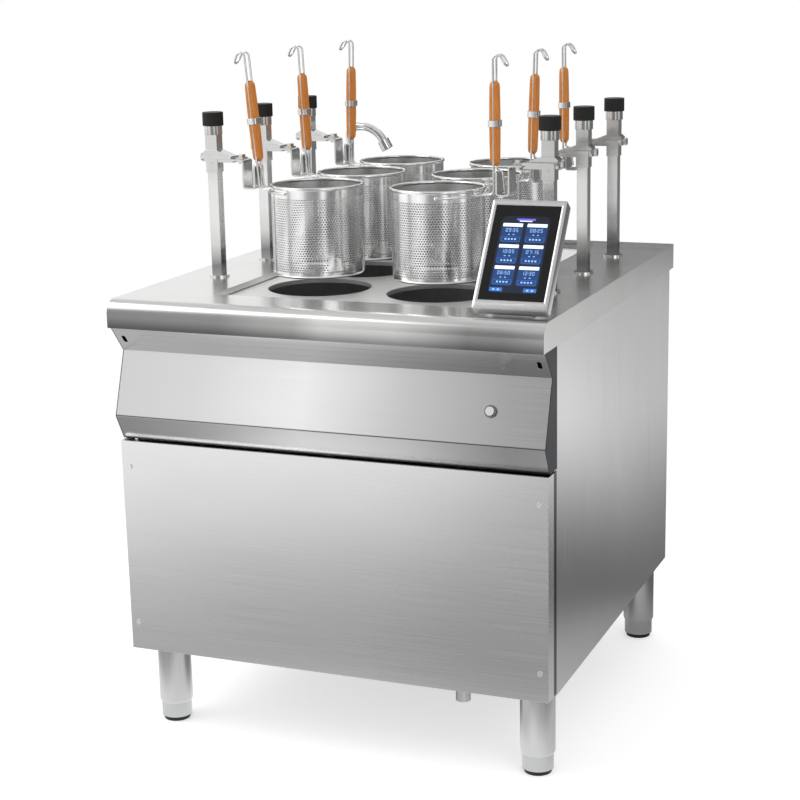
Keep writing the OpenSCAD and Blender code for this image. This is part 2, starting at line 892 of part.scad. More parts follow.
// The spout at rest points along +X, over the recess
module tap_spout() {
    wire_r = tap_d / 2;
    bend_z = tap_rise - tap_bend;
    level_x = tap_bend + tap_level;
    end_x = level_x + tap_curve * sin(tap_fall);
    end_z = tap_rise - tap_curve * (1 - cos(tap_fall));
    color("gainsboro") translate([tap_x, tap_y, top_h]) {
        translate([0, 0, tap_body_h - tap_socket + joint_gap])
            cylinder(h = bend_z - tap_body_h + tap_socket - joint_gap, r = wire_r);
        translate([0, 0, tap_body_h + seat_gap]) cylinder(h = wire_r, r = tap_body_r);
        translate([tap_bend, 0, bend_z]) wire_arc_up(tap_bend, wire_r, 90, 90);
        translate([0, 0, tap_rise]) bar_x(tap_bend, level_x, wire_r);
        translate([level_x, 0, tap_rise - tap_curve]) wire_arc_up(tap_curve, wire_r, 90 - tap_fall, tap_fall);
        translate([end_x, 0, end_z]) rotate([0, 90 + tap_fall, 0]) cylinder(h = nozzle_l, r = nozzle_d / 2);
    }
}

// Lifts

module post_flanges() {
    color("silver") for (side = sides, row = rows) {
        translate([side * post_x, row_y(row), top_h]) difference() {
            union() {
                cylinder(h = flange_h, r = flange_r);
                translate([0, 0, -spigot_l]) cylinder(h = spigot_l, r = spigot_r);
            }
            slab([-post_half - slide_fit, -post_half - slide_fit, -spigot_l - over],
                [post_half + slide_fit, post_half + slide_fit, flange_h + over]);
        }
    }
}

// Sealed drive under the worktop: square casing for the post's guide, motor below
module lift_drives() {
    half = drive_w / 2;
    inner = half - drive_wall;
    color("dimgray") for (side = sides, row = rows) {
        translate([side * post_x, row_y(row), 0]) {
            difference() {
                slab([-half, -half, drive_low], [half, half, under_top]);
                slab([-inner, -inner, drive_low + drive_base], [inner, inner, under_top + over]);
            }
            translate([0, 0, drive_low - motor_h]) cylinder(h = motor_h, r = motor_r);
        }
    }
}

// Square tube with its guide block, round collar and the knob's stud
module post(side, row) {
    guide = drive_w / 2 - drive_wall - seat_gap;
    bore = post_half - post_wall;
    color("silver") at_station(side, row) translate([post_x, 0, 0]) {
        difference() {
            union() {
                slab([-post_half, -post_half, post_low], [post_half, post_half, neck_top]);
                slab([-guide, -guide, post_low], [guide, guide, post_low + guide_h]);
            }
            slab([-bore, -bore, post_low - over], [bore, bore, neck_top - post_w]);
        }
        translate([0, 0, neck_top]) cylinder(h = collar_h, r = collar_r);
        translate([0, 0, collar_top]) cylinder(h = stud_h, r = stud_r);
    }
}

module knob(side, row) {
    bore_h = stud_h + 2 * joint_gap;
    color([0.12, 0.12, 0.12]) at_station(side, row) translate([post_x, 0, collar_top + joint_gap]) difference() {
        union() {
            cylinder(h = knob_h - knob_chamfer, r = knob_r);
            translate([0, 0, knob_h - knob_chamfer])
                cylinder(h = knob_chamfer, r1 = knob_r, r2 = knob_r - knob_chamfer);
        }
        translate([0, 0, -over]) cylinder(h = bore_h + over, r = stud_r + turn_fit);
    }
}

// The sleeve, hub, plate, rib and tongue of an arm, measured from the post's axis
module arm_body() {
    fit = post_half + joint_gap;
    difference() {
        union() {
            slab([-sleeve_half, -sleeve_half, plate_low - sleeve_below],
                [sleeve_half, sleeve_half, neck_top - joint_gap]);
            along_y(-hub_half, hub_half) polygon([
                [-hub_inner, plate_low], [hub_outer, plate_low], [hub_outer, arm_z + hub_shoulder],
                [sleeve_half, arm_z + hub_rise], [-sleeve_half, arm_z + hub_rise], [-hub_inner, arm_z]]);
            translate([0, 0, plate_low]) linear_extrude(arm_t) polygon([
                [-plate_end, -arm_front], [hub_outer - plate_tip, -arm_front],
                [hub_outer, -arm_front + plate_tip], [hub_outer, arm_rear - plate_tip],
                [hub_outer - plate_tip, arm_rear], [-plate_taper, arm_rear], [-plate_end, tongue_half]]);
            slab([-plate_end, -rib_half, plate_low - rib_h], [-post_half, rib_half, plate_low]);
            slab([0, -boss_half, plate_low - boss_low], [hub_outer, boss_half, arm_z]);
            slab([drop_in_x - post_x + strap_r, -tongue_half, plate_low],
                [-plate_end, tongue_half, plate_low + tongue_t]);
        }
        slab([-fit, -fit, plate_low - sleeve_below - over], [fit, fit, neck_top + over]);
        translate([0, 0, clamp_z]) bar_x(0, hub_outer + over, bolt_r + joint_gap);
        translate([strap_bolt_x - post_x, 0, plate_low - over]) cylinder(h = arm_t, r = bolt_r + joint_gap);
    }
    for (share = pin_drops_shares) {
        translate([0, 0, plate_low - share * sleeve_below])
            bar_y(-sleeve_half - pin_head_h, -sleeve_half, pin_head_r);
    }
}

// A quarter of a bend in the strap, from 0 to 90 degrees
module strap_bend() {
    intersection() {
        difference() {
            circle(r = strap_r);
            circle(r = strap_r - strap_t);
        }
        square([strap_r, strap_r]);
    }
}

// The strap's section: upper leg, drop, shelf and lip
module strap_outline() {
    top = plate_low - joint_gap;
    far = post_x - plate_end - joint_gap;
    translate([drop_in_x + strap_r, top - strap_t]) square([far - drop_in_x - strap_r, strap_t]);
    translate([drop_in_x + strap_r, top - strap_r]) mirror([1, 0]) strap_bend();
    translate([drop_in_x, shelf_z + strap_r]) square([strap_t, top - shelf_z - 2 * strap_r]);
    translate([drop_out_x - strap_r, shelf_z + strap_r]) mirror([0, 1]) strap_bend();
    translate([lip_in_x + strap_r, shelf_z]) square([drop_out_x - lip_in_x - 2 * strap_r, strap_t]);
    translate([lip_in_x + strap_r, shelf_z + strap_r]) mirror([1, 0]) mirror([0, 1]) strap_bend();
    translate([lip_in_x, shelf_z + strap_r]) square([strap_t, lip_top - shelf_z - strap_r]);
}

module strap() {
    difference() {
        along_y(-arm_front, arm_rear) strap_outline();
        translate([strap_bolt_x, 0, plate_low - strap_t - over])
            cylinder(h = strap_t + 2 * over, r = bolt_r + joint_gap);
    }
}

module strap_bolt() {
    head_z = plate_low + tongue_t + joint_gap;
    nut_z = plate_low - strap_t - 2 * joint_gap - nut_h;
    translate([strap_bolt_x, 0, 0]) {
        translate([0, 0, head_z]) cylinder(h = bolt_head_h, r = bolt_head_r, $fn = 6);
        translate([0, 0, nut_z]) cylinder(h = nut_h, r = bolt_head_r, $fn = 6);
        translate([0, 0, nut_z]) cylinder(h = head_z - nut_z, r = bolt_r);
    }
}

module clamp_bolt() {
    head_x = post_x + hub_outer + clamp_show;
    translate([0, 0, clamp_z]) {
        bar_x(post_x + post_half, head_x, bolt_r);
        translate([head_x, 0, 0]) rotate([0, 90, 0]) cylinder(h = bolt_head_h, r = bolt_head_r, $fn = 6);
    }
}

module arm(side, row) {
    color("lightgray") at_station(side, row) {
        translate([post_x, 0, 0]) arm_body();
        strap();
        strap_bolt();
        clamp_bolt();
    }
}

// Baskets

module basket_pot() {
    rotate_extrude() {
        polygon([
            [0, basket_z], [basket_r - basket_chamfer, basket_z], [basket_r, basket_z + basket_chamfer],
            [basket_r, rim_z], [basket_r - basket_wall, rim_z],
            [basket_r - basket_wall, basket_z + basket_chamfer], [basket_r - basket_chamfer, basket_z + basket_wall],
            [0, basket_z + basket_wall]]);
        translate([basket_r, rim_z]) circle(r = rim_d / 2);
    }
}

// The wire under the rim that the handle is welded to, with a bead at each end
module hug_wire() {
    translate([0, 0, hug_z]) {
        wire_arc(hug_r, hug_d / 2, -hug_angle, 2 * hug_angle);
        for (side = sides) {
            rotate([0, 0, side * hug_angle]) translate([hug_r, 0, 0]) sphere(r = hug_end_d / 2);
        }
    }
}

// Where a wire leaves the one under the rim, pointing out from the basket
module at_wall(y) {
    translate([hug_r - hug_d / 4, y - handle_front, hug_z]) rotate([0, 90, 0]) children();
}

// One handle wire: out from the wall, up through the grip and over the arch
module handle_wire(side, lean, length) {
    wire_r = wire_d / 2;
    at_wall(side * wire_span / 2) rod(foot_l, wire_r) bend(splay_r, wire_r, lean - 90)
        rod(length, wire_r) bend(arch_r, wire_r, arch_turn) rod(arch_tail, wire_r) {
            if (side < 0) {
                rotate([0, 0, 90]) bend(wire_span / 2, wire_r, 180);
            }
        }
}

// The hook: up between the handle wires, over the strap's lip and down into its channel
module basket_hook() {
    wire_r = hook_d / 2;
    at_wall(0) rod(foot_l, wire_r) bend(splay_r, wire_r, -90)
        rod(hook_rise - splay_r, wire_r) bend(hook_r, wire_r, 180 - hook_splay) rod(hook_leg, wire_r);
}

// The leaning grip's frame starts where the bends at the foot of its wires end
module on_handle(lean) {
    translate([bend_x + splay_r * cos(lean), -handle_front, hug_z + splay_r - splay_r * sin(lean)])
        rotate([0, lean, 0]) children();
}

// Metal band round the middle of the grip
module grip_clip() {
    x_in = grip_t / 2 + joint_gap;
    y_in = grip_w / 2 + joint_gap;
    z0 = grip_rise + (grip_l - clip_h) / 2;
    difference() {
        slab([-x_in - clip_t, -y_in - clip_t, z0], [x_in + clip_t, y_in + clip_t, z0 + clip_h]);
        slab([-x_in, -y_in, z0 - over], [x_in, y_in, z0 + clip_h + over]);
    }
}

function handle_lean(side, row) = side < 0 ? lean_left_shares[row] : lean_right_shares[row];

module basket(side, row) {
    lean = handle_lean(side, row);
    color("silver") at_station(side, row) translate([basket_x, 0, 0]) {
        basket_pot();
        hug_wire();
        for (end = sides) {
            handle_wire(end, lean, side < 0 ? handle_left_l : handle_right_l);
        }
        basket_hook();
        on_handle(lean) grip_clip();
    }
}

// The grip's outline from the side, with rounded ends
module grip_outline() {
    end_r = grip_w / 2;
    polygon([
        for (z = [0, 1], turn = [0 : 15 : 180])
            let (a = turn + z * 180, mid = z * (grip_l - grip_w) + end_r)
            [-end_r * cos(a), grip_rise + mid - end_r * sin(a)]]);
}

// One half of the grip, pillowed across, thinner towards its ends and grooved for the wires
module grip_half() {
    half_t = grip_t / 2;
    top = grip_rise + grip_l;
    difference() {
        intersection() {
            along_x(grip_gap / 2, grip_t) grip_outline();
            translate([half_t + grip_crown - grip_pillow_r, 0, 0]) cylinder(h = top + over, r = grip_pillow_r);
            along_y(-grip_w, grip_w) polygon([
                [0, grip_rise], [half_t - grip_taper, grip_rise], [half_t, grip_rise + grip_taper_l],
                [half_t, top - grip_taper_l], [half_t - grip_taper, top], [0, top]]);
        }
        for (side = sides) {
            translate([0, side * wire_span / 2, 0])
                cylinder(h = grip_rise + grip_l + over, r = wire_d / 2 + turn_fit);
        }
    }
}

module grip(side, row) {
    color("peru") at_station(side, row) translate([basket_x, 0, 0]) on_handle(handle_lean(side, row)) {
        grip_half();
        mirror([1, 0, 0]) grip_half();
    }
}

side_panel_left();
side_panel_right();
back_panel();
base_panel();
front_panel();
panel_screws();
fascia();
fascia_ends();
button_ring();
power_button();
worktop();
cover_plate();
tank();
heating_elements();
drain_pipe();
valve_handle();
frame();
control_box();
lift_drives();
post_flanges();
leg_tubes();
foot(-1, leg_y0);  // foot_front_left
foot(1, leg_y0);  // foot_front_right
foot(-1, leg_y1);  // foot_rear_left
foot(1, leg_y1);  // foot_rear_right
screen_stand();
screen_housing();
screen_glass();
tap_base();
tap_spout();
post(-1, 0);  // post_front_left
post(-1, 1);  // post_middle_left
post(-1, 2);  // post_rear_left
post(1, 0);  // post_front_right
post(1, 1);  // post_middle_right
post(1, 2);  // post_rear_right
arm(-1, 0);  // arm_front_left
arm(-1, 1);  // arm_middle_left
arm(-1, 2);  // arm_rear_left
arm(1, 0);  // arm_front_right
arm(1, 1);  // arm_middle_right
arm(1, 2);  // arm_rear_right
knob(-1, 0);  // knob_front_left
knob(-1, 1);  // knob_middle_left
knob(-1, 2);  // knob_rear_left
knob(1, 0);  // knob_front_right
knob(1, 1);  // knob_middle_right
knob(1, 2);  // knob_rear_right
basket(-1, 0);  // basket_front_left
basket(-1, 1);  // basket_middle_left
basket(-1, 2);  // basket_rear_left
basket(1, 0);  // basket_front_right
basket(1, 1);  // basket_middle_right
basket(1, 2);  // basket_rear_right
grip(-1, 0);  // grip_front_left
grip(-1, 1);  // grip_middle_left
grip(-1, 2);  // grip_rear_left
grip(1, 0);  // grip_front_right
grip(1, 1);  // grip_middle_right
grip(1, 2);  // grip_rear_right
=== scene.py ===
"""Looks of the six-basket pasta cooker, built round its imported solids.
Metres, with the origin on the floor, +X to the right and +Y to the rear."""
import math

import bmesh
import bpy
import numpy as np
from mathutils import Matrix, Vector


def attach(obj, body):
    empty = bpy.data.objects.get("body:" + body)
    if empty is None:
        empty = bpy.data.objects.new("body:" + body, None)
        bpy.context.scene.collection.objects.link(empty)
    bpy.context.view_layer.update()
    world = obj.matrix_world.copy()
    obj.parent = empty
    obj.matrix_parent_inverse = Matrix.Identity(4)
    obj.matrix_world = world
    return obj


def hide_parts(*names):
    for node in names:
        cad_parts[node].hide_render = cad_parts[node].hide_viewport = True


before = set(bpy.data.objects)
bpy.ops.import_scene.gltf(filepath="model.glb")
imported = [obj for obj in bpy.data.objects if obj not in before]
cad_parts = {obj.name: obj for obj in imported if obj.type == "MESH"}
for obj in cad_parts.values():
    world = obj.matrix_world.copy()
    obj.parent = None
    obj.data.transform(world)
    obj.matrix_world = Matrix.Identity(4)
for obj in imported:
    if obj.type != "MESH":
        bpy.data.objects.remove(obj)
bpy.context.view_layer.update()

MM = 0.001
FULL_TURN = 2 * math.pi
UPRIGHT = Matrix.Rotation(math.radians(-90), 4, "X")

# Baskets and their stations, as the solids have them
BASKET_X = 117 * MM
ROWS = {"front": -157 * MM, "middle": 51 * MM, "rear": 259 * MM}
SIDES = {"left": -1, "right": 1}
LEANS = {
    ("front", "left"): 5.0, ("middle", "left"): 2.5, ("rear", "left"): -1.5,
    ("front", "right"): 0.0, ("middle", "right"): 2.0, ("rear", "right"): -0.5,
}
WALL_R = 83.5 * MM
WALL_T = 1.0 * MM
FLOOR_Z = 831 * MM
RIM_Z = 992 * MM
RIM_R = 3 * MM
CORNER_R = 6 * MM

# Perforations: rows of holes up the wall, holes round it, the plain bands at its ends, and a
# hole's radius in shares of its tile
WALL_ROWS = 36
WALL_HOLES = 104
PLAIN_LOW = 1
PLAIN_HIGH = 4
HOLE_R = 0.345
HOLE_STRETCH = 1.15
# A small plain patch low on the wall: its share of a turn, row and half size, counted in holes
PATCH_TURN = {"left": 0.62, "right": 0.1}
PATCH_ROW = 4.0
PATCH_HALF = 2.6
NOWHERE = -9.0
# Rings of the floor: holes round it, rows, and inner radius
FLOOR_RINGS = ((88, 3, 62.5 * MM), (66, 4, 42.5 * MM), (42, 4, 22.5 * MM))
FLOOR_STEP = 5 * MM
DISC_R = 22.5 * MM
DISC_SIDES = 42
DISC_HUB_R = 0.5 * MM

# Wires of a basket: the one that hugs its wall, the handle, and the hook that hangs in the arm
HUG_Z = 983 * MM
HUG_R = 2.2 * MM
HUG_TURN = 72
WELD_R = 3.6 * MM
WIRE_R = 2 * MM
WIRE_SPAN = 18 * MM
WIRE_IN = 0.8 * MM
HANDLE_X = 109 * MM
HANDLE_Y = -6 * MM
SPLAY_R = 10 * MM
HANDLE_L = {"left": 229 * MM, "right": 221 * MM}
ARCH_R = 8 * MM
ARCH_TURN = 150
ARCH_TAIL = 7 * MM
HOOK_R = 6.5 * MM
HOOK_RISE = 36 * MM
HOOK_WIRE_R = 2.25 * MM
HOOK_SPLAY = 7
HOOK_LEG = 29 * MM
# A bar's domed end: how far it stands out and its radius there, as shares of the bar's radius
DOME_OUT = 0.45
DOME_R = 0.55

# Wooden grip and the clip round it
GRIP_RISE = 40 * MM
GRIP_L = 146 * MM
GRIP_W = 23 * MM
GRIP_T = 17.5 * MM
GRIP_GAP = 2.5 * MM
GRIP_END = 0.45 * GRIP_W
GRIP_LIP = 0.5 * MM
CROWN_POWER = 3.2
CLIP_H = 11 * MM
CLIP_T = 0.9 * MM
CLIP_ROOM = 0.1 * MM
CLIP_EDGE = 0.3 * MM
CLIP_CORNER = 4 * MM

# Black knobs on the posts
KNOB_X = 323 * MM
KNOB_LOW = 1100.1 * MM
KNOB_H = 20 * MM
KNOB_R = 19.2 * MM
KNOB_SKIRT = 5 * MM
COLLAR_ROOM_R = 16.8 * MM
KNOB_BORE_R = 5.05 * MM
KNOB_BORE_H = 12.2 * MM
KNOB_RIBS = 44
RIB_DEPTH = 0.45 * MM

# Screen housing, in its own frame: X across, Y back, Z up its face
SCREEN_LEFT = 266 * MM
SCREEN_FRONT = -408 * MM
SCREEN_LOW = 829.889 * MM
SCREEN_TILT = 35.6
SCREEN_W = 129 * MM
SCREEN_L = 201 * MM
SCREEN_T = 23 * MM
SCREEN_EDGE = 1.6 * MM
BEZEL_SIDE = 8 * MM
BEZEL_TOP = 11 * MM
BEZEL_LOW = 16 * MM
WINDOW_BEVEL = 1.2 * MM

# Page on the screen: thin patches in layers, whose depths are in millimetres and whose corners
# are a share of their width
PAGE_W = 84 * MM
PAGE_H = 140 * MM
PAGE_DROP = 3 * MM
PATCH_BACK = 0.6
PATCH_FRONT = 0.58
LAYER_STEP = 0.07
PATCH_CORNER = 0.12
TILE_SIZE = 36 * MM
TILE_X = 21 * MM
TILE_STEP = 39 * MM
TILE_TOP = 31 * MM
TIMES = ((0, 9, 3, 5), (0, 8, 2, 5), (1, 0, 0, 5), (0, 7, 1, 5), (0, 6, 5, 0), (1, 2, 3, 0))
TIME_Z = 5 * MM
DIGIT_H = 5.6 * MM
DIGIT_W = DIGIT_H / 2
STROKE_W = 0.12 * DIGIT_H
DIGIT_STEP = 5.4 * MM
TILE_BUTTON_Z = -11.6 * MM
PAGE_BUTTON_Z = 5.5 * MM
# Strokes of a digit: place across and up, and whether it runs flat or tall, as shares of a digit
STROKES = {"a": (0, 0.5, 1, 0), "b": (0.5, 0.25, 0, 1), "c": (0.5, -0.25, 0, 1),
           "d": (0, -0.5, 1, 0), "e": (-0.5, -0.25, 0, 1), "f": (-0.5, 0.25, 0, 1),
           "g": (0, 0, 1, 0)}
DIGITS = ("abcdef", "bc", "abged", "abgcd", "fgbc", "afgcd", "afgedc", "abc", "abcdefg", "abcdfg")

# Painted shade and sheen along the bent metal, as (millimetres, colour)
WORKTOP_DOWN = ((769, "#a4a4a4"), (784, "#e8e8e8"), (796, "#ffffff"))
WORKTOP_ALONG = ((-400, "#a6a6a6"), (-180, "#acacac"), (-110, "#c8c8c8"), (-40, "#d6d6d6"),
                 (10, "#ffffff"), (140, "#ffffff"), (200, "#e6e6e6"), (270, "#b4b4b4"),
                 (330, "#b4b4b4"), (400, "#d5d5d5"))
# Flats of the fascia between two heights, with painted sheen and shade at the same five places
# along each
FASCIA_PLACES = (-398, -250, -40, 150, 330)
FASCIA_FLATS = (
    ((559, 604.2), ("#c4c4c4", "#e0e0e0", "#ffffff", "#e8e8e8", "#b0b0b0")),
    ((604.2, 716.8), ("#e0e0e0", "#e6e6e6", "#ffffff", "#e0e0e0", "#cfcfcf")),
    ((716.8, 779), ("#ffffff", "#ffffff", "#ffffff", "#ececec", "#dadada")),
)
# A painted shadow in the crease above the lowest flat
FASCIA_CREASE = ((560, "#ffffff"), (604.4, "#ffffff"), (605, "#6a6a6a"), (606.4, "#6a6a6a"),
                 (607.2, "#ffffff"), (779, "#ffffff"))
# Painted shade on the front's folds: the top one under the fascia's lip, the side ones by the
# casing
FRONT_TOP_FOLD = ((-416, "#dcdcdc"), (-411.5, "#dcdcdc"), (-409.5, "#404040"), (-370, "#404040"))
FRONT_TOP_HEIGHTS = (555.3, 557)
FRONT_SIDE_FOLDS = ((-416, "#ffffff"), (-387, "#ffffff"), (-384, "#484848"), (-370, "#484848"))
# Painted shade and sheen up the posts, darker low down and in a band higher up
POST_UP = ((820, "#b4b4b4"), (836, "#9c9c9c"), (875, "#ececec"), (920, "#ffffff"), (985, "#ffffff"),
           (1030, "#e4e4e4"), (1052, "#aeaeae"), (1075, "#dedede"), (1100, "#f6f6f6"))
# Painted shade inside the baskets, darker low down
BASKET_UP = ((831, "#7c7c7c"), (925, "#868686"), (962, "#f0f0f0"), (994, "#ffffff"))

# Camera: degrees, the focal length in pixels of the photograph, and its place
VIEW_AZIMUTH = 22.098
VIEW_HEIGHT = 13.52
VIEW_ROLL = -1.202
FOCAL_PIXELS = 1790.83
PHOTO_PIXELS = 800
CAMERA_AT = (1.2351, -3.1093, 1.3674)
SENSOR_MM = 36

# Studio: the floor's half width, where the lamps aim, and each lamp's place, size and watts
FLOOR_HALF = 14.0
LAMP_AIM = (0, 0, 0.6)
LAMPS = (("key", (-2.5, -1.5, 3.2), 2.4, 42), ("fill", (2.6, -2.2, 2.0), 2.0, 14),
         ("back", (-0.6, 3.0, 2.6), 2.0, 10))
FLOOR_GLOW = 0.5
TENT_GLOW = 0.62
CEILING = 0.72
CEILING_FROM = 0.4
CEILING_TO = 0.75
# The floor's changes with the distance from the middle: two distances and the levels there. Seen
# directly it turns from paper to white; mirrored it turns from close by to midway and to far off,
# with a painted bright apron round the object and painted shade under it
FLOOR_CHANGES = ((0.8, 1.5, 0, 1), (0.9, 2.7, 0, 1), (4.4, 6.5, 0, 1), (0.62, 0.85, 2.2, 1),
                 (0.2, 0.4, 0.3, 1))


def colour(code):
    """Linear colour of an sRGB hex code."""
    parts = [int(code[i:i + 2], 16) / 255 for i in (1, 3, 5)]
    return [c / 12.92 if c <= 0.04045 else ((c + 0.055) / 1.055) ** 2.4 for c in parts] + [1.0]


def add(tree, kind, inputs=(), stops=(), **settings):
    """Adds a node with its settings and colour stops, and sets or links its inputs, given by name
    or in order. A node as an input means its first output in use. A kind without a prefix is a
    shader node."""
    node = tree.nodes.new(kind if "Node" in kind else "ShaderNode" + kind)
    for name, value in settings.items():
        setattr(node, name, value)
    for name, value in inputs.items() if isinstance(inputs, dict) else enumerate(inputs):
        if isinstance(value, bpy.types.Node):
            value = next(output for output in value.outputs if output.enabled)
        if isinstance(value, bpy.types.NodeSocket):
            tree.links.new(value, node.inputs[name])
        else:
            node.inputs[name].default_value = value
    if stops:
        points = node.color_ramp.elements
        while len(points) < len(stops):
            points.new(0.5)
        for point, (place, code) in zip(points, stops):
            point.position = place
            point.color = colour(code)
    return node


def cleared(owner):
    """The node tree of a material or a world, emptied."""
    owner.use_nodes = True
    owner.node_tree.nodes.clear()
    return owner.node_tree


def new_material(name):
    """An empty material, its tree, and the place that its pattern reads."""
    material = bpy.data.materials.new(name)
    tree = cleared(material)
    return material, tree, add(tree, "TexCoord").outputs["Object"]


def stretched_noise(tree, point, along, length, width, detail=3.0):
    """Noise drawn out along one axis, its length and width in metres."""
    scale = [1 / width] * 3
    scale["XYZ".index(along)] = 1 / length
    mapping = add(tree, "Mapping", {"Vector": point, "Scale": scale})
    return add(tree, "TexNoise", {"Vector": mapping, "Scale": 1.0, "Detail": detail,
                                  "Roughness": 0.6})


def surface(tree, inputs, wear=None, smoothest=0.0, dullest=1.0):
    """The shader with its inputs, and the output. Its roughness follows the noise that wears it,
    between two values."""
    if wear:
        rough = add(tree, "MapRange", {"Value": wear, "From Min": 0.25, "From Max": 0.75,
                                       "To Min": smoothest, "To Max": dullest})
        inputs = {**inputs, "Roughness": rough}
    shader = add(tree, "BsdfPrincipled", inputs)
    add(tree, "OutputMaterial", {"Surface": shader})


def sheet_steel(name, dark, light, along, rough, grain=(260 * MM, 1.6 * MM), edge=0.8 * MM):
    """Sheet with a brushed grain: long fine lines break up its sheen, and folded edges catch
    light. The real grain is about 0.2 mm wide; it is drawn 1.2 to 5 mm wide, so that it shows."""
    material, tree, point = new_material(name)
    lines = stretched_noise(tree, point, along, *grain)
    cloud = stretched_noise(tree, point, along, 420 * MM, 160 * MM, 2.0)
    mixed = add(tree, "Math", (lines, cloud), operation="ADD")
    half = add(tree, "Math", (mixed, 0.5), operation="MULTIPLY")
    base = add(tree, "ValToRGB", (half,), [(0.3, dark), (0.7, light)])
    edges = add(tree, "Bevel", {"Radius": edge}, samples=4)
    bump = add(tree, "Bump", {"Height": lines, "Strength": 0.08, "Distance": 0.1 * MM,
                              "Normal": edges})
    surface(tree, {"Base Color": base, "Normal": bump, "Metallic": 1.0}, lines, rough - 0.05,
            rough + 0.06)
    return material


def shaded(material, axis, stops, facing=None, within=None):
    """Paints shade and sheen into a finish along one axis, by (millimetres, hex) stops, where light
    and reflections on a piece fall off towards its ends. Where facing names an axis, only faces
    that look down that axis take it, and within keeps it between two heights."""
    tree = material.node_tree
    colour_socket = tree.nodes["Principled BSDF"].inputs["Base Color"]
    base = colour_socket.links[0].from_socket
    coords = add(tree, "TexCoord").outputs
    places = add(tree, "SeparateXYZ", (coords["Object"],)).outputs
    stops = [(at * MM, code) for at, code in stops]
    low, high = stops[0][0], stops[-1][0]
    fac = add(tree, "MapRange", {"Value": places[axis], "From Min": low, "From Max": high})
    tone = add(tree, "ValToRGB", (fac,), [((at - low) / (high - low), code) for at, code in stops])
    factor = 1.0
    if within:
        bottom, top = within[0] * MM, within[1] * MM
        factor = add(tree, "Math", (places["Z"], (bottom + top) / 2, (top - bottom) / 2),
                     operation="COMPARE")
    if facing:
        turned = add(tree, "SeparateXYZ", (coords["Normal"],)).outputs[facing]
        factor = add(tree, "MapRange", {"Value": turned, "From Min": -0.5, "From Max": -0.95})
    mixed = add(tree, "Mix", {"Factor": factor, "A": base, "B": tone}, data_type="RGBA",
                blend_type="MULTIPLY")
    tree.links.new(mixed.outputs["Result"], colour_socket)
    return material


def bright_steel(name, dark, light, rough, spot=14 * MM):
    """Turned or electropolished steel: nearly a mirror, slightly uneven, with no grain to see."""
    material, tree, point = new_material(name)
    cloud = stretched_noise(tree, point, "Z", spot * 1.5, spot)
    base = add(tree, "ValToRGB", (cloud,), [(0.3, dark), (0.7, light)])
    edges = add(tree, "Bevel", {"Radius": 0.4 * MM}, samples=4)
    surface(tree, {"Base Color": base, "Normal": edges, "Metallic": 1.0}, cloud, rough - 0.03,
            rough + 0.05)
    return material


def coated(name, dark, light, rough, grit, bump_height, edge=0.5 * MM, extra=None):
    """Moulded plastic, vinyl, paint or glass: a fine even texture of its own under its sheen."""
    material, tree, point = new_material(name)
    fine = stretched_noise(tree, point, "Z", grit, grit, 2.0)
    cloud = stretched_noise(tree, point, "Z", 40 * MM, 30 * MM, 2.0)
    base = add(tree, "ValToRGB", (cloud,), [(0.3, dark), (0.7, light)])
    edges = add(tree, "Bevel", {"Radius": edge}, samples=4)
    bump = add(tree, "Bump", {"Height": fine, "Strength": 0.3, "Distance": bump_height,
                              "Normal": edges})
    surface(tree, {"Base Color": base, "Normal": bump, **(extra or {})}, fine, rough - 0.05,
            rough + 0.05)
    return material


def oiled_wood(name, dark, light, seam):
    """Oiled hardwood: grain about two millimetres wide runs up the grip, with darker pores."""
    material, tree, point = new_material(name)
    grain = stretched_noise(tree, point, "Z", 70 * MM, 2.2 * MM, 4.0)
    pores = stretched_noise(tree, point, "Z", 14 * MM, 0.7 * MM, 2.0)
    base = add(tree, "ValToRGB", (grain,), [(0.28, dark), (0.5, light), (0.78, dark)])
    spots = add(tree, "MapRange", {"Value": pores, "From Min": 0.6, "From Max": 0.75})
    base = add(tree, "Mix", {"Factor": spots, "A": base, "B": colour(seam)}, data_type="RGBA")
    bump = add(tree, "Bump", {"Height": pores, "Strength": 0.25, "Distance": 0.2 * MM})
    surface(tree, {"Base Color": base, "Normal": bump, "Coat Weight": 0.08, "Coat Roughness": 0.3,
                   "Specular IOR Level": 0.35}, grain, 0.42, 0.56)
    return material


def lit_page(name, low, high, strength):
    """Part of the lit screen: it glows by itself, and its tone shifts a little up the page."""
    material, tree, point = new_material(name)
    height = add(tree, "SeparateXYZ", (point,)).outputs["Z"]
    fac = add(tree, "MapRange", {"Value": height, "From Min": 838 * MM, "From Max": 985 * MM})
    glow = add(tree, "ValToRGB", (fac,), [(0.0, low), (1.0, high)])
    surface(tree, {"Base Color": glow, "Emission Color": glow, "Emission Strength": strength,
                   "Roughness": 0.15})
    return material


def tube_on_rubber(name, rubber, metal, height):
    """A polished tube above a height and its rubber base below it, as (hex, roughness) each."""
    material, tree, point = new_material(name)
    place = add(tree, "SeparateXYZ", (point,)).outputs["Z"]
    above = add(tree, "Math", (place, height), operation="GREATER_THAN")
    base = add(tree, "Mix", {"Factor": above, "A": colour(rubber[0]), "B": colour(metal[0])},
               data_type="RGBA")
    rough = add(tree, "MapRange", {"Value": above, "To Min": rubber[1], "To Max": metal[1]})
    edges = add(tree, "Bevel", {"Radius": 1 * MM}, samples=4)
    surface(tree, {"Base Color": base, "Roughness": rough, "Metallic": above, "Normal": edges})
    return material


def rounded_worktop():
    """Brushed sheet with painted shade down its rounded front edge and a painted sheen along it."""
    finish = sheet_steel("worktop_brushed_stainless", "#dcdcdb", "#e8e8e7", "X", 0.22)
    return shaded(shaded(finish, "Z", WORKTOP_DOWN, "Y"), "X", WORKTOP_ALONG, "Y")


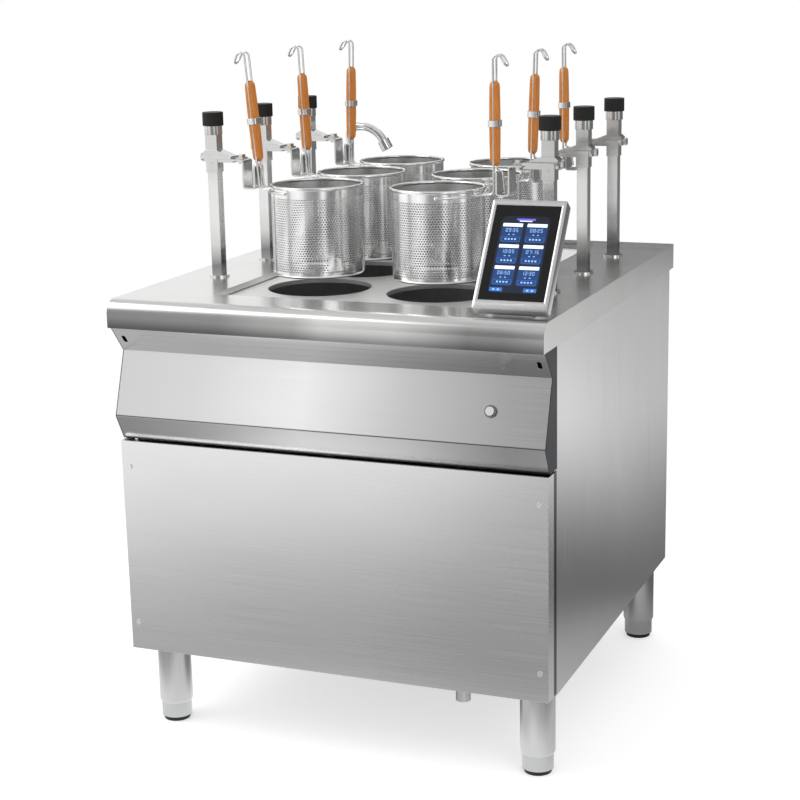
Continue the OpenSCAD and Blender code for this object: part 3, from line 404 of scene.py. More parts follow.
def folded_fascia():
    """Brushed sheet in three flats, each with a painted sheen along it, and a painted shadow in the
    crease above the lowest.
    """
    finish = sheet_steel("fascia_brushed_stainless", "#f4f4f4", "#ffffff", "X", 0.22)
    for heights, tones in FASCIA_FLATS:
        finish = shaded(finish, "X", list(zip(FASCIA_PLACES, tones)), within=heights)
    return shaded(finish, "Z", FASCIA_CREASE)


def folded_front():
    """Brushed front whose folds are in shade behind: the top one under the fascia's lip, the side
    ones by the casing."""
    finish = sheet_steel("front_brushed_stainless", "#ebebeb", "#f5f5f5", "X", 0.24)
    finish = shaded(finish, "Y", FRONT_TOP_FOLD, within=FRONT_TOP_HEIGHTS)
    return shaded(finish, "Y", FRONT_SIDE_FOLDS)


POLISHED = bright_steel("polished_stainless_turned", "#e4e4e3", "#f0f0ef", 0.1)
WIRE = bright_steel("electropolished_wire", "#e6e6e5", "#f2f2f1", 0.14)
PERFORATED = bright_steel("electropolished_perforated_sheet", "#f4f4f3", "#ffffff", 0.14, 22 * MM)
# The baskets' inner side: a darker, rougher copy of the sheet, painted shade, darkest low down
PERFORATED_INSIDE = shaded(bright_steel("perforated_sheet_inside_painted_shade", "#d4d4d3", "#e8e8e8",
                                        0.3, 22 * MM), "Z", BASKET_UP)
ANODISED = sheet_steel("screen_satin_anodised_aluminium", "#cacaca", "#d6d6d6", "X", 0.26,
                       (50 * MM, 1.4 * MM))
KNOB = coated("knob_matt_black_abs", "#080809", "#0f0f10", 0.46, 0.9 * MM, 0.1 * MM, 1.0 * MM)
WOOD = oiled_wood("grip_oiled_hardwood", "#c96a20", "#ee9842", "#94491a")

# Materials of a basket's mesh and of the page's mesh, in the order of their face numbers
BASKET_FINISHES = (PERFORATED, WIRE, POLISHED, PERFORATED_INSIDE)
IS_SHEET, IS_WIRE, IS_CLIP, IS_INSIDE = range(4)
PAGE_FINISHES = (
    lit_page("screen_page_navy", "#06142f", "#040c1e", 0.6),
    lit_page("screen_tile_blue", "#11396f", "#0e2f5e", 0.7),
    lit_page("screen_button_blue", "#2a66b4", "#23589c", 0.75),
    lit_page("screen_label_white", "#dfeaff", "#dfeaff", 0.85),
    lit_page("screen_digit_pale_blue", "#8db4e4", "#8db4e4", 0.8),
    lit_page("screen_title_violet", "#5a55c8", "#6a60d2", 0.7),
)
IS_PAGE, IS_TILE, IS_BUTTON, IS_WHITE, IS_DIGIT, IS_TITLE = range(6)


def dress(material, *names):
    """Gives CAD nodes their finish."""
    for name in names:
        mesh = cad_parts[name].data
        mesh.materials.clear()
        mesh.materials.append(material)


def stations(prefix):
    """The six CAD nodes of one kind, left side first."""
    return ["%s_%s_%s" % (prefix, row, side) for side in SIDES for row in ROWS]


def in_scene(name, data):
    """A new object in the scene, at the origin."""
    thing = bpy.data.objects.new(name, data)
    bpy.context.scene.collection.objects.link(thing)
    return thing


def place(name, mesh, body, slot, replaced=()):
    """Puts a finished mesh in the scene on its body."""
    piece = in_scene(name, mesh)
    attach(piece, body)
    if replaced:
        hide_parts(*replaced)


class Shape:
    """Vertices and faces gathered for one mesh, with a material number for each face."""

    def __init__(self):
        self.vertices, self.faces, self.finish = [], [], []

    def take(self, vertices, faces, finish=0):
        self.join(vertices, faces, [finish] * len(faces))

    def join(self, vertices, faces, finishes):
        start = len(self.vertices)
        self.vertices += [Vector(v) for v in vertices]
        self.faces += [tuple(start + i for i in face) for face in faces]
        self.finish += finishes

    def moved(self, matrix):
        self.vertices = [matrix @ v for v in self.vertices]
        if matrix.to_3x3().determinant() < 0:
            self.faces = [tuple(reversed(face)) for face in self.faces]
        return self

    def mesh(self, name, materials, sharp=35):
        """One mesh, smooth but for the edges sharper than an angle in degrees."""
        mesh = bpy.data.meshes.new(name)
        mesh.from_pydata([tuple(v) for v in self.vertices], [], self.faces)
        for material in materials:
            mesh.materials.append(material)
        mesh.polygons.foreach_set("material_index", self.finish)
        mesh.validate()
        mesh.polygons.foreach_set("use_smooth", [True] * len(mesh.polygons))
        mesh.set_sharp_from_angle(angle=math.radians(sharp))
        mesh.update()
        return mesh


def turned_point(radius, turn, height):
    """A point at a radius, an angle and a height."""
    return Vector((radius * math.cos(turn), radius * math.sin(turn), height))


def band(a, b, count):
    """Faces between two rings of points, which start at a and at b."""
    return [(a + k, a + (k + 1) % count, b + (k + 1) % count, b + k) for k in range(count)]


def tube(path, radius, sides=12):
    """A closed round bar along a list of points, with slightly domed ends."""
    points = [Vector(p) for p in path]
    headings = []
    for i in range(len(points)):
        before = points[i] - points[i - 1] if i else points[1] - points[0]
        after = points[i + 1] - points[i] if i + 1 < len(points) else before
        headings.append((before.normalized() + after.normalized()).normalized())
    side = headings[0].orthogonal().normalized()
    rings, vertices = [], []
    stops = [(i, 0.0, 1.0) for i in range(len(points))]
    stops = [(0, -DOME_OUT, DOME_R), *stops, (len(points) - 1, DOME_OUT, DOME_R)]
    last = headings[0]
    for index, push, share in stops:
        side = last.rotation_difference(headings[index]) @ side
        last = headings[index]
        up = last.cross(side)
        centre = points[index] + last * push * radius
        rings.append(len(vertices))
        for k in range(sides):
            turn = FULL_TURN * k / sides
            reach = (side * math.cos(turn) + up * math.sin(turn)) * radius * share
            vertices.append(centre + reach)
    faces = [tuple(rings[0] + k for k in reversed(range(sides))),
             tuple(rings[-1] + k for k in range(sides))]
    for a, b in zip(rings, rings[1:]):
        faces += band(a, b, sides)
    return vertices, faces


def lathe(profile, steps=96):
    """A ring turned round Z from a closed outline of (radius, height), drawn anticlockwise."""
    vertices, faces = [], []
    count = len(profile)
    for s in range(steps):
        vertices += [turned_point(r, FULL_TURN * s / steps, z) for r, z in profile]
    for s in range(steps):
        a, b = s * count, (s + 1) % steps * count
        for k in range(count):
            n = (k + 1) % count
            faces.append((a + k, b + k, b + n, a + n))
    return vertices, faces


def loft(rings):
    """A closed solid through rings of the same number of points, capped at both ends."""
    count = len(rings[0])
    vertices = [Vector(v) for ring in rings for v in ring]
    last = (len(rings) - 1) * count
    faces = [tuple(reversed(range(count))), tuple(last + k for k in range(count))]
    for r in range(len(rings) - 1):
        faces += band(r * count, (r + 1) * count, count)
    return vertices, faces


def rounded_box_ring(half_x, half_y, corner, z, steps=4):
    """A rectangle with round corners, level at z, anticlockwise."""
    points = []
    for cx, cy, start in ((1, 1, 0), (-1, 1, 90), (-1, -1, 180), (1, -1, 270)):
        for k in range(steps + 1):
            turn = math.radians(start + 90 * k / steps)
            points.append(Vector((cx * (half_x - corner) + corner * math.cos(turn),
                                  cy * (half_y - corner) + corner * math.sin(turn), z)))
    return points


class Route:
    """Points of a wire that goes ahead and turns, each bend with its own radius."""

    def __init__(self, start, heading):
        self.at, self.heading = Vector(start), Vector(heading).normalized()
        self.points = [self.at.copy()]

    def ahead(self, length):
        self.at += self.heading * length
        self.points.append(self.at.copy())
        return self

    def bend(self, towards, radius, degrees, step=10):
        towards = Vector(towards)
        side = (towards - self.heading * towards.dot(self.heading)).normalized()
        heading, centre = self.heading.copy(), self.at + side * radius
        steps = max(2, round(degrees / step))
        for k in range(1, steps + 1):
            turn = math.radians(degrees * k / steps)
            self.points.append(centre - side * radius * math.cos(turn)
                               + heading * radius * math.sin(turn))
        turn = math.radians(degrees)
        self.at = self.points[-1].copy()
        self.heading = (heading * math.cos(turn) + side * math.sin(turn)).normalized()
        return self


def hole_tile():
    """One tile of perforated sheet a unit wide and high, its round hole drawn with six sides.
    The hole's own face is marked, so that it can be kept where the sheet is plain."""
    outer = [(-0.5, -0.5), (0, -0.5), (0.5, -0.5), (0.5, 0.5), (0, 0.5), (-0.5, 0.5)]
    inner = [(HOLE_R * math.cos(math.radians(a)), HOLE_R * HOLE_STRETCH * math.sin(math.radians(a)))
             for a in (210, 270, 330, 30, 90, 150)]
    faces = band(0, 6, 6) + [tuple(range(6, 12))]
    mesh = bpy.data.meshes.new("hole_tile")
    mesh.from_pydata([(x, y, 0) for x, y in outer + inner], [], faces)
    mark = mesh.attributes.new("hole_cover", "BOOLEAN", "FACE")
    mark.data.foreach_set("value", [False] * 6 + [True])
    return mesh


def perforated_tree():
    """Nodes that lay the tile round a ring, in staggered rows, and give the sheet its thickness."""
    tree = bpy.data.node_groups.new("perforated_ring", "GeometryNodeTree")
    face = tree.interface
    face.new_socket("Tile", in_out="INPUT", socket_type="NodeSocketGeometry")
    for kind, names in (("Int", ("Around", "Rows", "Plain Low", "Plain High")),
                        ("Float", ("Radius", "Radius Step", "Low", "Height Step", "Thickness",
                                   "Patch Turn", "Patch Row", "Patch Half")),
                        ("Material", ("Finish",))):
        for name in names:
            face.new_socket(name, in_out="INPUT", socket_type="NodeSocket" + kind)
    face.new_socket("Sheet", in_out="OUTPUT", socket_type="NodeSocketGeometry")
    given = add(tree, "NodeGroupInput").outputs
    here = add(tree, "SeparateXYZ", (add(tree, "GeometryNodeInputPosition"),)).outputs
    known = dict(given.items() + here.items())
    for name, kind in (("hole_cover", "BOOLEAN"), ("plain", "FLOAT")):
        known[name] = add(tree, "GeometryNodeInputNamedAttribute", {"Name": name}, data_type=kind)
    # Arithmetic of the holes' places: a name for each result, the operation and what it takes
    for name, operation, *values in (
            ("width", "SUBTRACT", "Around", 1), ("half width", "MULTIPLY", "width", 0.5),
            ("height", "SUBTRACT", "Rows", 1), ("half height", "MULTIPLY", "height", 0.5),
            ("column", "ADD", "X", "half width"), ("row", "ADD", "Y", "half height"),
            ("first", "SUBTRACT", "Plain Low", 0.5), ("below", "LESS_THAN", "row", "first"),
            ("holed rows", "SUBTRACT", "Rows", "Plain High"),
            ("last", "SUBTRACT", "holed rows", 0.5), ("above", "GREATER_THAN", "row", "last"),
            ("rows off", "SUBTRACT", "row", "Patch Row"), ("rows away", "ABSOLUTE", "rows off"),
            ("near row", "LESS_THAN", "rows away", "Patch Half"),
            ("turn off", "SUBTRACT", "column", "Patch Turn"), ("turn away", "ABSOLUTE", "turn off"),
            ("near turn", "LESS_THAN", "turn away", "Patch Half"),
            ("patch", "MULTIPLY", "near row", "near turn"), ("ends", "MAXIMUM", "below", "above"),
            ("bare", "MAXIMUM", "ends", "patch"), ("whole row", "ROUND", "row"),
            ("odd row", "MODULO", "whole row", 2), ("shift", "MULTIPLY", "odd row", 0.5),
            ("holed", "LESS_THAN", "plain", 0.5),
            ("opened", "MULTIPLY", "hole_cover", "holed"), ("share", "DIVIDE", "column", "Around"),
            ("turn", "MULTIPLY", "share", FULL_TURN), ("steps", "ADD", "row", 0.5),
            ("out", "MULTIPLY_ADD", "steps", "Radius Step", "Radius"),
            ("up", "MULTIPLY_ADD", "steps", "Height Step", "Low"),
            ("cosine", "COSINE", "turn"), ("across", "MULTIPLY", "out", "cosine"),
            ("sine", "SINE", "turn"), ("along", "MULTIPLY", "out", "sine")):
        known[name] = add(tree, "Math", [known.get(v, v) for v in values], operation=operation)

    def chain(geometry, *steps):
        for kind, inputs, settings in steps:
            geometry = add(tree, "GeometryNode" + kind, {0: geometry, **inputs}, **settings)
        return geometry

    grid = [known[name] for name in ("width", "height", "Around", "Rows")]
    stagger = add(tree, "CombineXYZ", (known["shift"],))
    bent = add(tree, "CombineXYZ", (known["across"], known["along"], known["up"]))
    ring = chain(
        add(tree, "GeometryNodeMeshGrid", grid),
        ("StoreNamedAttribute", {"Name": "plain", "Value": known["bare"]},
         {"data_type": "FLOAT", "domain": "POINT"}),
        ("SetPosition", {"Offset": stagger}, {}),
        ("InstanceOnPoints", {"Instance": known["Tile"]}, {}),
        ("RealizeInstances", {}, {}),
        ("DeleteGeometry", {"Selection": known["opened"]}, {"domain": "FACE"}),
        ("MergeByDistance", {"Distance": 0.01}, {}),
        ("SetPosition", {"Position": bent}, {}),
        ("MergeByDistance", {"Distance": 0.02 * MM}, {}))
    both = chain(ring, ("FlipFaces", {}, {}), ("JoinGeometry", {}, {}))
    thick = chain(ring, ("ExtrudeMesh", {"Offset Scale": known["Thickness"], "Individual": False},
                         {"mode": "FACES"}))
    tree.links.new(thick.outputs[0], both.inputs[0])
    done = chain(both, ("MergeByDistance", {"Distance": 0.02 * MM}, {}),
                 ("RealizeInstances", {}, {}), ("SetMaterial", {"Material": known["Finish"]}, {}))
    add(tree, "NodeGroupOutput", (done,))
    return tree


def perforated_sheet(tree, tile, **sizes):
    """Runs the tree once and returns its result as a plain mesh."""
    maker = in_scene("sheet_maker", tile)
    modifier = maker.modifiers.new("sheet", "NODES")
    modifier.node_group = tree
    sockets = {s.name: s.identifier for s in tree.interface.items_tree if s.in_out == "INPUT"}
    common = dict(Thickness=WALL_T, Plain_Low=0, Plain_High=0, Radius_Step=0.0, Height_Step=0.0,
                  Patch_Turn=NOWHERE, Patch_Row=NOWHERE, Patch_Half=0.1)
    for name, value in {**common, **sizes}.items():
        modifier[sockets[name.replace("_", " ")]] = value
    modifier[sockets["Finish"]] = PERFORATED
    graph = bpy.context.evaluated_depsgraph_get()
    mesh = bpy.data.meshes.new_from_object(maker.evaluated_get(graph))
    bpy.data.objects.remove(maker)
    return mesh


def add_sheet(shape, mesh):
    """Adds a sheet, with its inner side marked for a darker, rougher copy of its finish: painted
    shade.
    """
    finishes = []
    for face in mesh.polygons:
        outward = Vector((face.center.x, face.center.y, 0)).normalized()
        inside = face.normal.dot(outward) < -0.8 or face.normal.z > 0.8
        finishes.append(IS_INSIDE if inside else IS_SHEET)
    shape.join([v.co for v in mesh.vertices], [tuple(p.vertices) for p in mesh.polygons], finishes)


def basket_sheet(tree, tile, side):
    """The perforated wall, the round corner, the perforated floor and the rim of one basket."""
    shape = Shape()
    low = FLOOR_Z + CORNER_R
    add_sheet(shape, perforated_sheet(
        tree, tile, Around=WALL_HOLES, Rows=WALL_ROWS, Plain_Low=PLAIN_LOW, Plain_High=PLAIN_HIGH,
        Radius=WALL_R - WALL_T, Low=low, Height_Step=(RIM_Z - low) / WALL_ROWS,
        Patch_Turn=PATCH_TURN[side] * WALL_HOLES, Patch_Row=PATCH_ROW, Patch_Half=PATCH_HALF))
    for holes, count, inner in FLOOR_RINGS:
        add_sheet(shape, perforated_sheet(
            tree, tile, Around=holes, Rows=count, Radius=inner, Radius_Step=FLOOR_STEP,
            Low=FLOOR_Z + WALL_T))
    corner = [(WALL_R - CORNER_R + r * math.sin(a), FLOOR_Z + CORNER_R - r * math.cos(a))
              for r, quarter in ((CORNER_R, np.linspace(0, math.pi / 2, 6)),
                                 (CORNER_R - WALL_T, np.linspace(math.pi / 2, 0, 6)))
              for a in quarter]
    shape.take(*lathe(corner))
    top = FLOOR_Z + WALL_T
    disc = [(DISC_HUB_R, FLOOR_Z), (DISC_R, FLOOR_Z), (DISC_R, top), (DISC_HUB_R, top)]
    shape.take(*lathe(disc, DISC_SIDES))
    turns = np.linspace(0, FULL_TURN, DISC_SIDES + 1)[:-1]
    shape.take(*loft([[turned_point(DISC_HUB_R, t, z) for t in turns] for z in (FLOOR_Z, top)]))
    rim = [(WALL_R - WALL_T / 2 + RIM_R * math.cos(a), RIM_Z + RIM_R * math.sin(a))
           for a in np.linspace(0, FULL_TURN, 15)[:-1]]
    shape.take(*lathe(rim), IS_WIRE)
    return shape


def handle_frame(lean):
    """Where the grip stands: at the foot of its wires, leaning."""
    foot = Vector((HANDLE_X - SPLAY_R + SPLAY_R * math.cos(lean), HANDLE_Y,
                   HUG_Z + SPLAY_R - SPLAY_R * math.sin(lean)))
    return Matrix.Translation(foot) @ Matrix.Rotation(lean, 4, "Y")


def grip_clip():
    """The sheet clip bent round the grip, with softened edges."""
    half_x, half_y = GRIP_T / 2 + CLIP_ROOM, GRIP_W / 2 + CLIP_ROOM
    middle = GRIP_RISE + GRIP_L / 2
    half_h = CLIP_H / 2
    rings = [rounded_box_ring(half_x + out, half_y + out, CLIP_CORNER, middle + z)
             for out, z in ((0.0, -half_h), (CLIP_T * 0.7, -half_h), (CLIP_T, CLIP_EDGE - half_h),
                            (CLIP_T, half_h - CLIP_EDGE), (CLIP_T * 0.7, half_h), (0.0, half_h))]
    count = len(rings[0])
    faces = []
    for r in range(len(rings)):
        faces += band(r * count, (r + 1) % len(rings) * count, count)
    return [v for ring in rings for v in ring], faces


def basket_wires(lean_degrees, length):
    """Handle wire, hook and the wire that hugs the wall, as bent from bar, and the grip's clip."""
    shape = Shape()
    lean = math.radians(lean_degrees)
    up = Vector((math.sin(lean), 0, math.cos(lean)))
    out = Vector((math.cos(lean), 0, -math.sin(lean)))
    start = Vector((WALL_R + WIRE_IN, HANDLE_Y - WIRE_SPAN / 2, HUG_Z))
    foot = HANDLE_X - SPLAY_R - start.x
    rise = 90 - lean_degrees
    wire = Route(start, (1, 0, 0)).ahead(foot).bend((0, 0, 1), SPLAY_R, rise).ahead(length)
    wire.bend(out, ARCH_R, ARCH_TURN).ahead(ARCH_TAIL).bend((0, 1, 0), WIRE_SPAN / 2, 180)
    wire.ahead(ARCH_TAIL).bend(-up, ARCH_R, ARCH_TURN).ahead(length)
    wire.bend((-1, 0, 0), SPLAY_R, rise).ahead(foot)
    shape.take(*tube(wire.points, WIRE_R), IS_WIRE)
    hook = Route((WALL_R + WIRE_IN, HANDLE_Y, HUG_Z), (1, 0, 0)).ahead(foot)
    hook.bend((0, 0, 1), SPLAY_R, 90).ahead(HOOK_RISE - SPLAY_R)
    hook.bend((1, 0, 0), HOOK_R, 180 - HOOK_SPLAY).ahead(HOOK_LEG)
    shape.take(*tube(hook.points, HOOK_WIRE_R), IS_WIRE)
    arc = [turned_point(WALL_R + HUG_R, a, HUG_Z)
           for a in np.radians(np.linspace(-HUG_TURN, HUG_TURN, 49))]
    shape.take(*tube(arc, HUG_R), IS_WIRE)
    for end in (arc[0], arc[-1]):
        bead = bmesh.new()
        bmesh.ops.create_icosphere(bead, subdivisions=2, radius=WELD_R,
                                   matrix=Matrix.Translation(end))
        faces = [tuple(v.index for v in f.verts) for f in bead.faces]
        shape.take([v.co.copy() for v in bead.verts], faces, IS_WIRE)
        bead.free()
    stand = handle_frame(lean)
    vertices, faces = grip_clip()
    shape.take([stand @ v for v in vertices], faces, IS_CLIP)
    return shape


def grip_scales():
    """Two wooden scales, crowned across, thinner towards rounded ends, with softened edges."""
    shape = Shape()
    for face in (-1, 1):
        rings = []
        for t in np.linspace(0, 1, 29):
            near = min(t, 1 - t) * GRIP_L
            end = math.sqrt(max(0.0, 1 - (1 - min(near / GRIP_END, 1)) ** 2))
            belly = math.sin(math.pi * t)
            # Shares left at the rounded ends, and before the middle is fuller
            half_w = GRIP_W / 2 * (0.18 + 0.82 * end) * (0.93 + 0.07 * belly)
            thick = (GRIP_T - GRIP_GAP) / 2 * (0.45 + 0.55 * end) * (0.86 + 0.14 * belly)
            flat, z = GRIP_GAP / 2, GRIP_RISE + GRIP_L * t
            ring = []
            for u in np.linspace(-1, 1, 15):
                crown = (1 - abs(u) ** CROWN_POWER) ** 0.5
                ring.append(Vector((flat + GRIP_LIP + (thick - GRIP_LIP) * crown, u * half_w, z)))
            ring += [Vector((flat, side * half_w * 0.94, z)) for side in (1, -1)]
            if face < 0:
                ring = [Vector((-v.x, v.y, v.z)) for v in reversed(ring)]
            rings.append(ring)
        shape.take(*loft(rings))
    return shape


def to_station(row, side):
    """From a right-hand station's frame to a station's own place."""
    mirror = Matrix.Scale(-1, 4, (1, 0, 0)) if side == "left" else Matrix.Identity(4)
    return Matrix.Translation((0, ROWS[row], 0)) @ mirror @ Matrix.Translation((BASKET_X, 0, 0))


def make_baskets():
    """The six baskets with their wires and clips, and the grips on them."""
    tree, tile = perforated_tree(), hole_tile()
    for side in SIDES:
        sheet = basket_sheet(tree, tile, side)
        for row in ROWS:
            lean = LEANS[row, side]
            basket, grip = "basket_%s_%s" % (row, side), "grip_%s_%s" % (row, side)
            shape = Shape()
            for part in (sheet, basket_wires(lean, HANDLE_L[side])):
                shape.join(part.vertices, part.faces, part.finish)
            shape.moved(to_station(row, side))
            place(basket + "_dressed", shape.mesh(basket, BASKET_FINISHES), basket, "wire_steel",
                  [basket])
            scales = grip_scales().moved(handle_frame(math.radians(lean)))
            scales.moved(to_station(row, side))
            place(grip + "_dressed", scales.mesh(grip, [WOOD]), basket, "grip_wood", [grip])


def ribbed_knob():
    """A moulded cap whose skirt reaches over the post's collar, with fine upright ribs, a dished
    top and a blind bore."""
    low, edge, top = -KNOB_SKIRT, KNOB_R, KNOB_H
    # Radius, height and depth of the ribs, from inside the bore round to the dish
    outline = ((KNOB_BORE_R, KNOB_BORE_H, 0), (KNOB_BORE_R, 0, 0), (COLLAR_ROOM_R, 0, 0),
               (COLLAR_ROOM_R, low, 0), (edge - 0.6 * MM, low, 0), (edge, low + 0.6 * MM, 0),
               (edge, low + 1.4 * MM, 0), (edge, low + 1.9 * MM, RIB_DEPTH),
               (edge, top - 2.4 * MM, RIB_DEPTH), (edge, top - 1.9 * MM, 0),
               (edge, top - 1.2 * MM, 0), (edge - 0.35 * MM, top - 0.35 * MM, 0),
               (edge - 1.2 * MM, top, 0), (edge - 3.2 * MM, top, 0),
               (edge - 4 * MM, top - 0.4 * MM, 0))
    sides = KNOB_RIBS * 4
    shape = Shape()
    shape.take(*loft([[turned_point(radius - (depth if k % 4 > 1 else 0), FULL_TURN * k / sides,
                                    KNOB_LOW + height) for k in range(sides)]
                      for radius, height, depth in outline]))
    return shape


def make_knobs():
    """The six black knobs, each on its own turning body."""
    for side, way in SIDES.items():
        for row, y in ROWS.items():
            key = "knob_%s_%s" % (row, side)
            knob = ribbed_knob().moved(Matrix.Translation((way * KNOB_X, y, 0)))
            place(key + "_dressed", knob.mesh(key, [KNOB], 25), key, "knob_black", [key])


def screen_matrix():
    """From the screen's own frame to its place on its stand."""
    at = Matrix.Translation((SCREEN_LEFT, SCREEN_FRONT, SCREEN_LOW))
    return at @ Matrix.Rotation(math.radians(-SCREEN_TILT), 4, "X")


def make_screen():
    """Metal housing with a softened edge and a bevelled window."""
    half_w, half_l, edge = SCREEN_W / 2, SCREEN_L / 2, SCREEN_EDGE
    window_x, window_z = half_w - BEZEL_SIDE, (SCREEN_L - BEZEL_TOP - BEZEL_LOW) / 2
    # Y runs down the face here, and the lower bezel is the wider one
    window_up = Vector((0, -(BEZEL_LOW - BEZEL_TOP) / 2, 0))
    rings = [rounded_box_ring(half_w - inset, half_l - inset, corner * MM, deep)
             for inset, corner, deep in ((edge, 2, SCREEN_T), (0, 3, SCREEN_T - edge), (0, 3, edge),
                                         (edge * 0.35, 2.6, edge * 0.35), (edge, 2, 0))]
    for grown, deep in ((WINDOW_BEVEL, 0.0), (0, 0.6 * MM), (0, 2.6 * MM)):
        ring = rounded_box_ring(window_x + grown, window_z + grown, 1 * MM, deep)
        rings.append([v + window_up for v in ring])
    vertices, faces = loft(rings)
    shape = Shape()
    shape.take(vertices, [tuple(reversed(f)) for f in faces])
    centre = Matrix.Translation((half_w, 0, half_l)) @ UPRIGHT
    shape.moved(screen_matrix() @ centre)
    place("screen_housing_dressed", shape.mesh("screen_housing", [ANODISED], 30), "root",
          "screen_metal", ["screen_housing"])


def make_page():
    """A plain page of six timers: labels, numbers, marks and buttons, each a thin raised patch."""
    shape = Shape()

    def patch(x, z, w, h, layer, finish):
        front, back = (PATCH_FRONT - LAYER_STEP * layer) * MM, PATCH_BACK * MM
        corner = min(w, h) * PATCH_CORNER
        rings = [rounded_box_ring(w / 2, h / 2, corner, y, 2) for y in (front, back)]
        vertices, faces = loft(rings)
        turn = Matrix.Translation((x, 0, z)) @ UPRIGHT
        shape.take([turn @ v for v in vertices], faces, finish)

    def digit(x, z, value):
        for name in DIGITS[value]:
            across, up, flat, tall = STROKES[name]
            patch(x + across * DIGIT_W, z + up * DIGIT_H, DIGIT_W * flat + STROKE_W,
                  DIGIT_H / 2 * tall + STROKE_W, 3, IS_DIGIT)

    middle = SCREEN_W / 2
    page_z = (BEZEL_LOW + SCREEN_L - BEZEL_TOP) / 2 - PAGE_DROP
    top, bottom = page_z + PAGE_H / 2, page_z - PAGE_H / 2
    patch(middle, page_z, PAGE_W, PAGE_H, 0, IS_PAGE)
    patch(middle, top - 6 * MM, 32 * MM, 3.2 * MM, 1, IS_TITLE)
    patch(middle, top - 9 * MM, 22 * MM, 1.6 * MM, 2, IS_WHITE)
    for index, figures in enumerate(TIMES):
        x = middle + (1 if index % 2 else -1) * TILE_X
        z = top - TILE_TOP - index // 2 * TILE_STEP
        patch(x, z, TILE_SIZE, TILE_SIZE, 1, IS_TILE)
        patch(x, z + TILE_SIZE / 2 - 3.5 * MM, TILE_SIZE - 2 * MM, 6 * MM, 2, IS_WHITE)
        for k, figure in enumerate(figures):
            apart = 0.8 * MM if k > 1 else -0.8 * MM
            digit(x + (k - 1.5) * DIGIT_STEP + apart, z + TIME_Z, figure)
        for k in (-1, 1):
            patch(x, z + TIME_Z + k * 1.4 * MM, 0.9 * MM, 0.9 * MM, 3, IS_DIGIT)
            patch(x + k * 4 * MM, z - 3.2 * MM, 3 * MM, 1.6 * MM, 2, IS_DIGIT)
        button_z = z + TILE_BUTTON_Z
        patch(x, button_z, TILE_SIZE - 4 * MM, 9 * MM, 2, IS_BUTTON)
        patch(x, button_z, TILE_SIZE - 5.4 * MM, 7.6 * MM, 3, IS_TILE)
        for k in range(4):
            patch(x + (k - 1.5) * 5.5 * MM, button_z, 3.2 * MM, 3 * MM, 4, IS_DIGIT)
    for side in (-1, 1):
        x = middle + side * 29 * MM
        patch(x, bottom + PAGE_BUTTON_Z, 22 * MM, 7 * MM, 1, IS_BUTTON)
        for k in (-1, 1):
            patch(x + k * 4 * MM, bottom + PAGE_BUTTON_Z, 4 * MM, 3 * MM, 2, IS_DIGIT)
    shape.moved(screen_matrix())
    place("screen_page", shape.mesh("screen_page", PAGE_FINISHES), "root", "screen_glass")


# Brightness seen in the steel by compass direction, as (degrees from +X, brightness): on the floor
# close by, a few metres off and far off, and on the tent. White panels stand all along the left,
# and narrow ones at the right and front right
CLOSE_BY = (
    (-180, 0.4), (-138, 0.43), (-125, 0.4), (-104, 0.34), (-77, 0.28), (-57, 0.42), (-30, 0.3),
    (17, 0.18), (45, 0.14), (58, 0.17), (68, 0.1), (80, 0.1), (110, 0.2), (150, 0.35), (180, 0.4))
MIDWAY = (
    (-180, 0.8), (-140, 0.95), (-122, 1.0), (-110, 1.0), (-97, 0.66), (-86, 0.45), (-70, 0.6),
    (-50, 0.8), (-30, 0.35), (-8, 0.8), (10, 0.4), (30, 0.8), (46, 1.0), (60, 1.0), (64, 0.78),
    (68, 0.5), (73, 0.54), (82, 0.3), (110, 0.3), (150, 0.7), (180, 0.8))
FAR_OFF = (
    (-180, 0.95), (-150, 1.0), (-143, 0.5), (-135, 0.85), (-122, 0.95), (-114, 1.0), (-104, 0.9),
    (-95, 0.5), (-80, 0.28), (-66, 0.25), (-52, 0.9), (-42, 0.2), (-20, 0.22), (-8, 0.95),
    (4, 0.22), (30, 0.18), (60, 0.2), (90, 0.17), (104, 0.17), (111, 0.55), (118, 1.0), (132, 1.0),
    (138, 0.45), (146, 1.0), (180, 0.95))
TENT = (
    (-180, 0.95), (-150, 1.0), (-143, 0.5), (-135, 0.75), (-124, 0.8), (-117, 1.0), (-110, 0.55),
    (-104, 0.3), (-95, 0.25), (-66, 0.25), (-52, 0.9), (-42, 0.2), (-20, 0.22), (-8, 0.95),
    (4, 0.22), (30, 0.18), (60, 0.18), (90, 0.12), (106, 0.12), (112, 0.5), (118, 1.0),
    (132, 1.0), (138, 0.45), (146, 1.0), (180, 0.95))


def compass(tree, place, stops):
    """Brightness from stops by the direction of a point or of a ray."""
    parts = add(tree, "SeparateXYZ", (place,)).outputs
    angle = add(tree, "Math", (parts["Y"], parts["X"]), operation="ARCTAN2")
    turn = add(tree, "MapRange", {"Value": angle, "From Min": -math.pi, "From Max": math.pi})
    node = add(tree, "FloatCurve", {"Value": turn})
    curve = node.mapping.curves[0]
    while len(curve.points) < len(stops):
        curve.points.new(0.5, 0.5)
    for point, (degrees, value) in zip(curve.points, stops):
        point.location = ((degrees + 180) / 360, value)
        point.handle_type = "AUTO_CLAMPED"
    node.mapping.update()
    return node


def seen_by_ray(tree, kind, direct, mirrored, diffuse):
    """What the camera sees, what gloss and glass show, and what lights the object."""
    rays = add(tree, "LightPath").outputs
    shiny = add(tree, "Math", (rays["Is Glossy Ray"], rays["Is Transmission Ray"]),
                operation="MAXIMUM")
    unseen = add(tree, "MixShader", (shiny, diffuse, mirrored))
    shown = add(tree, "MixShader", (rays["Is Camera Ray"], unseen, direct))
    add(tree, "Output" + kind, {"Surface": shown})


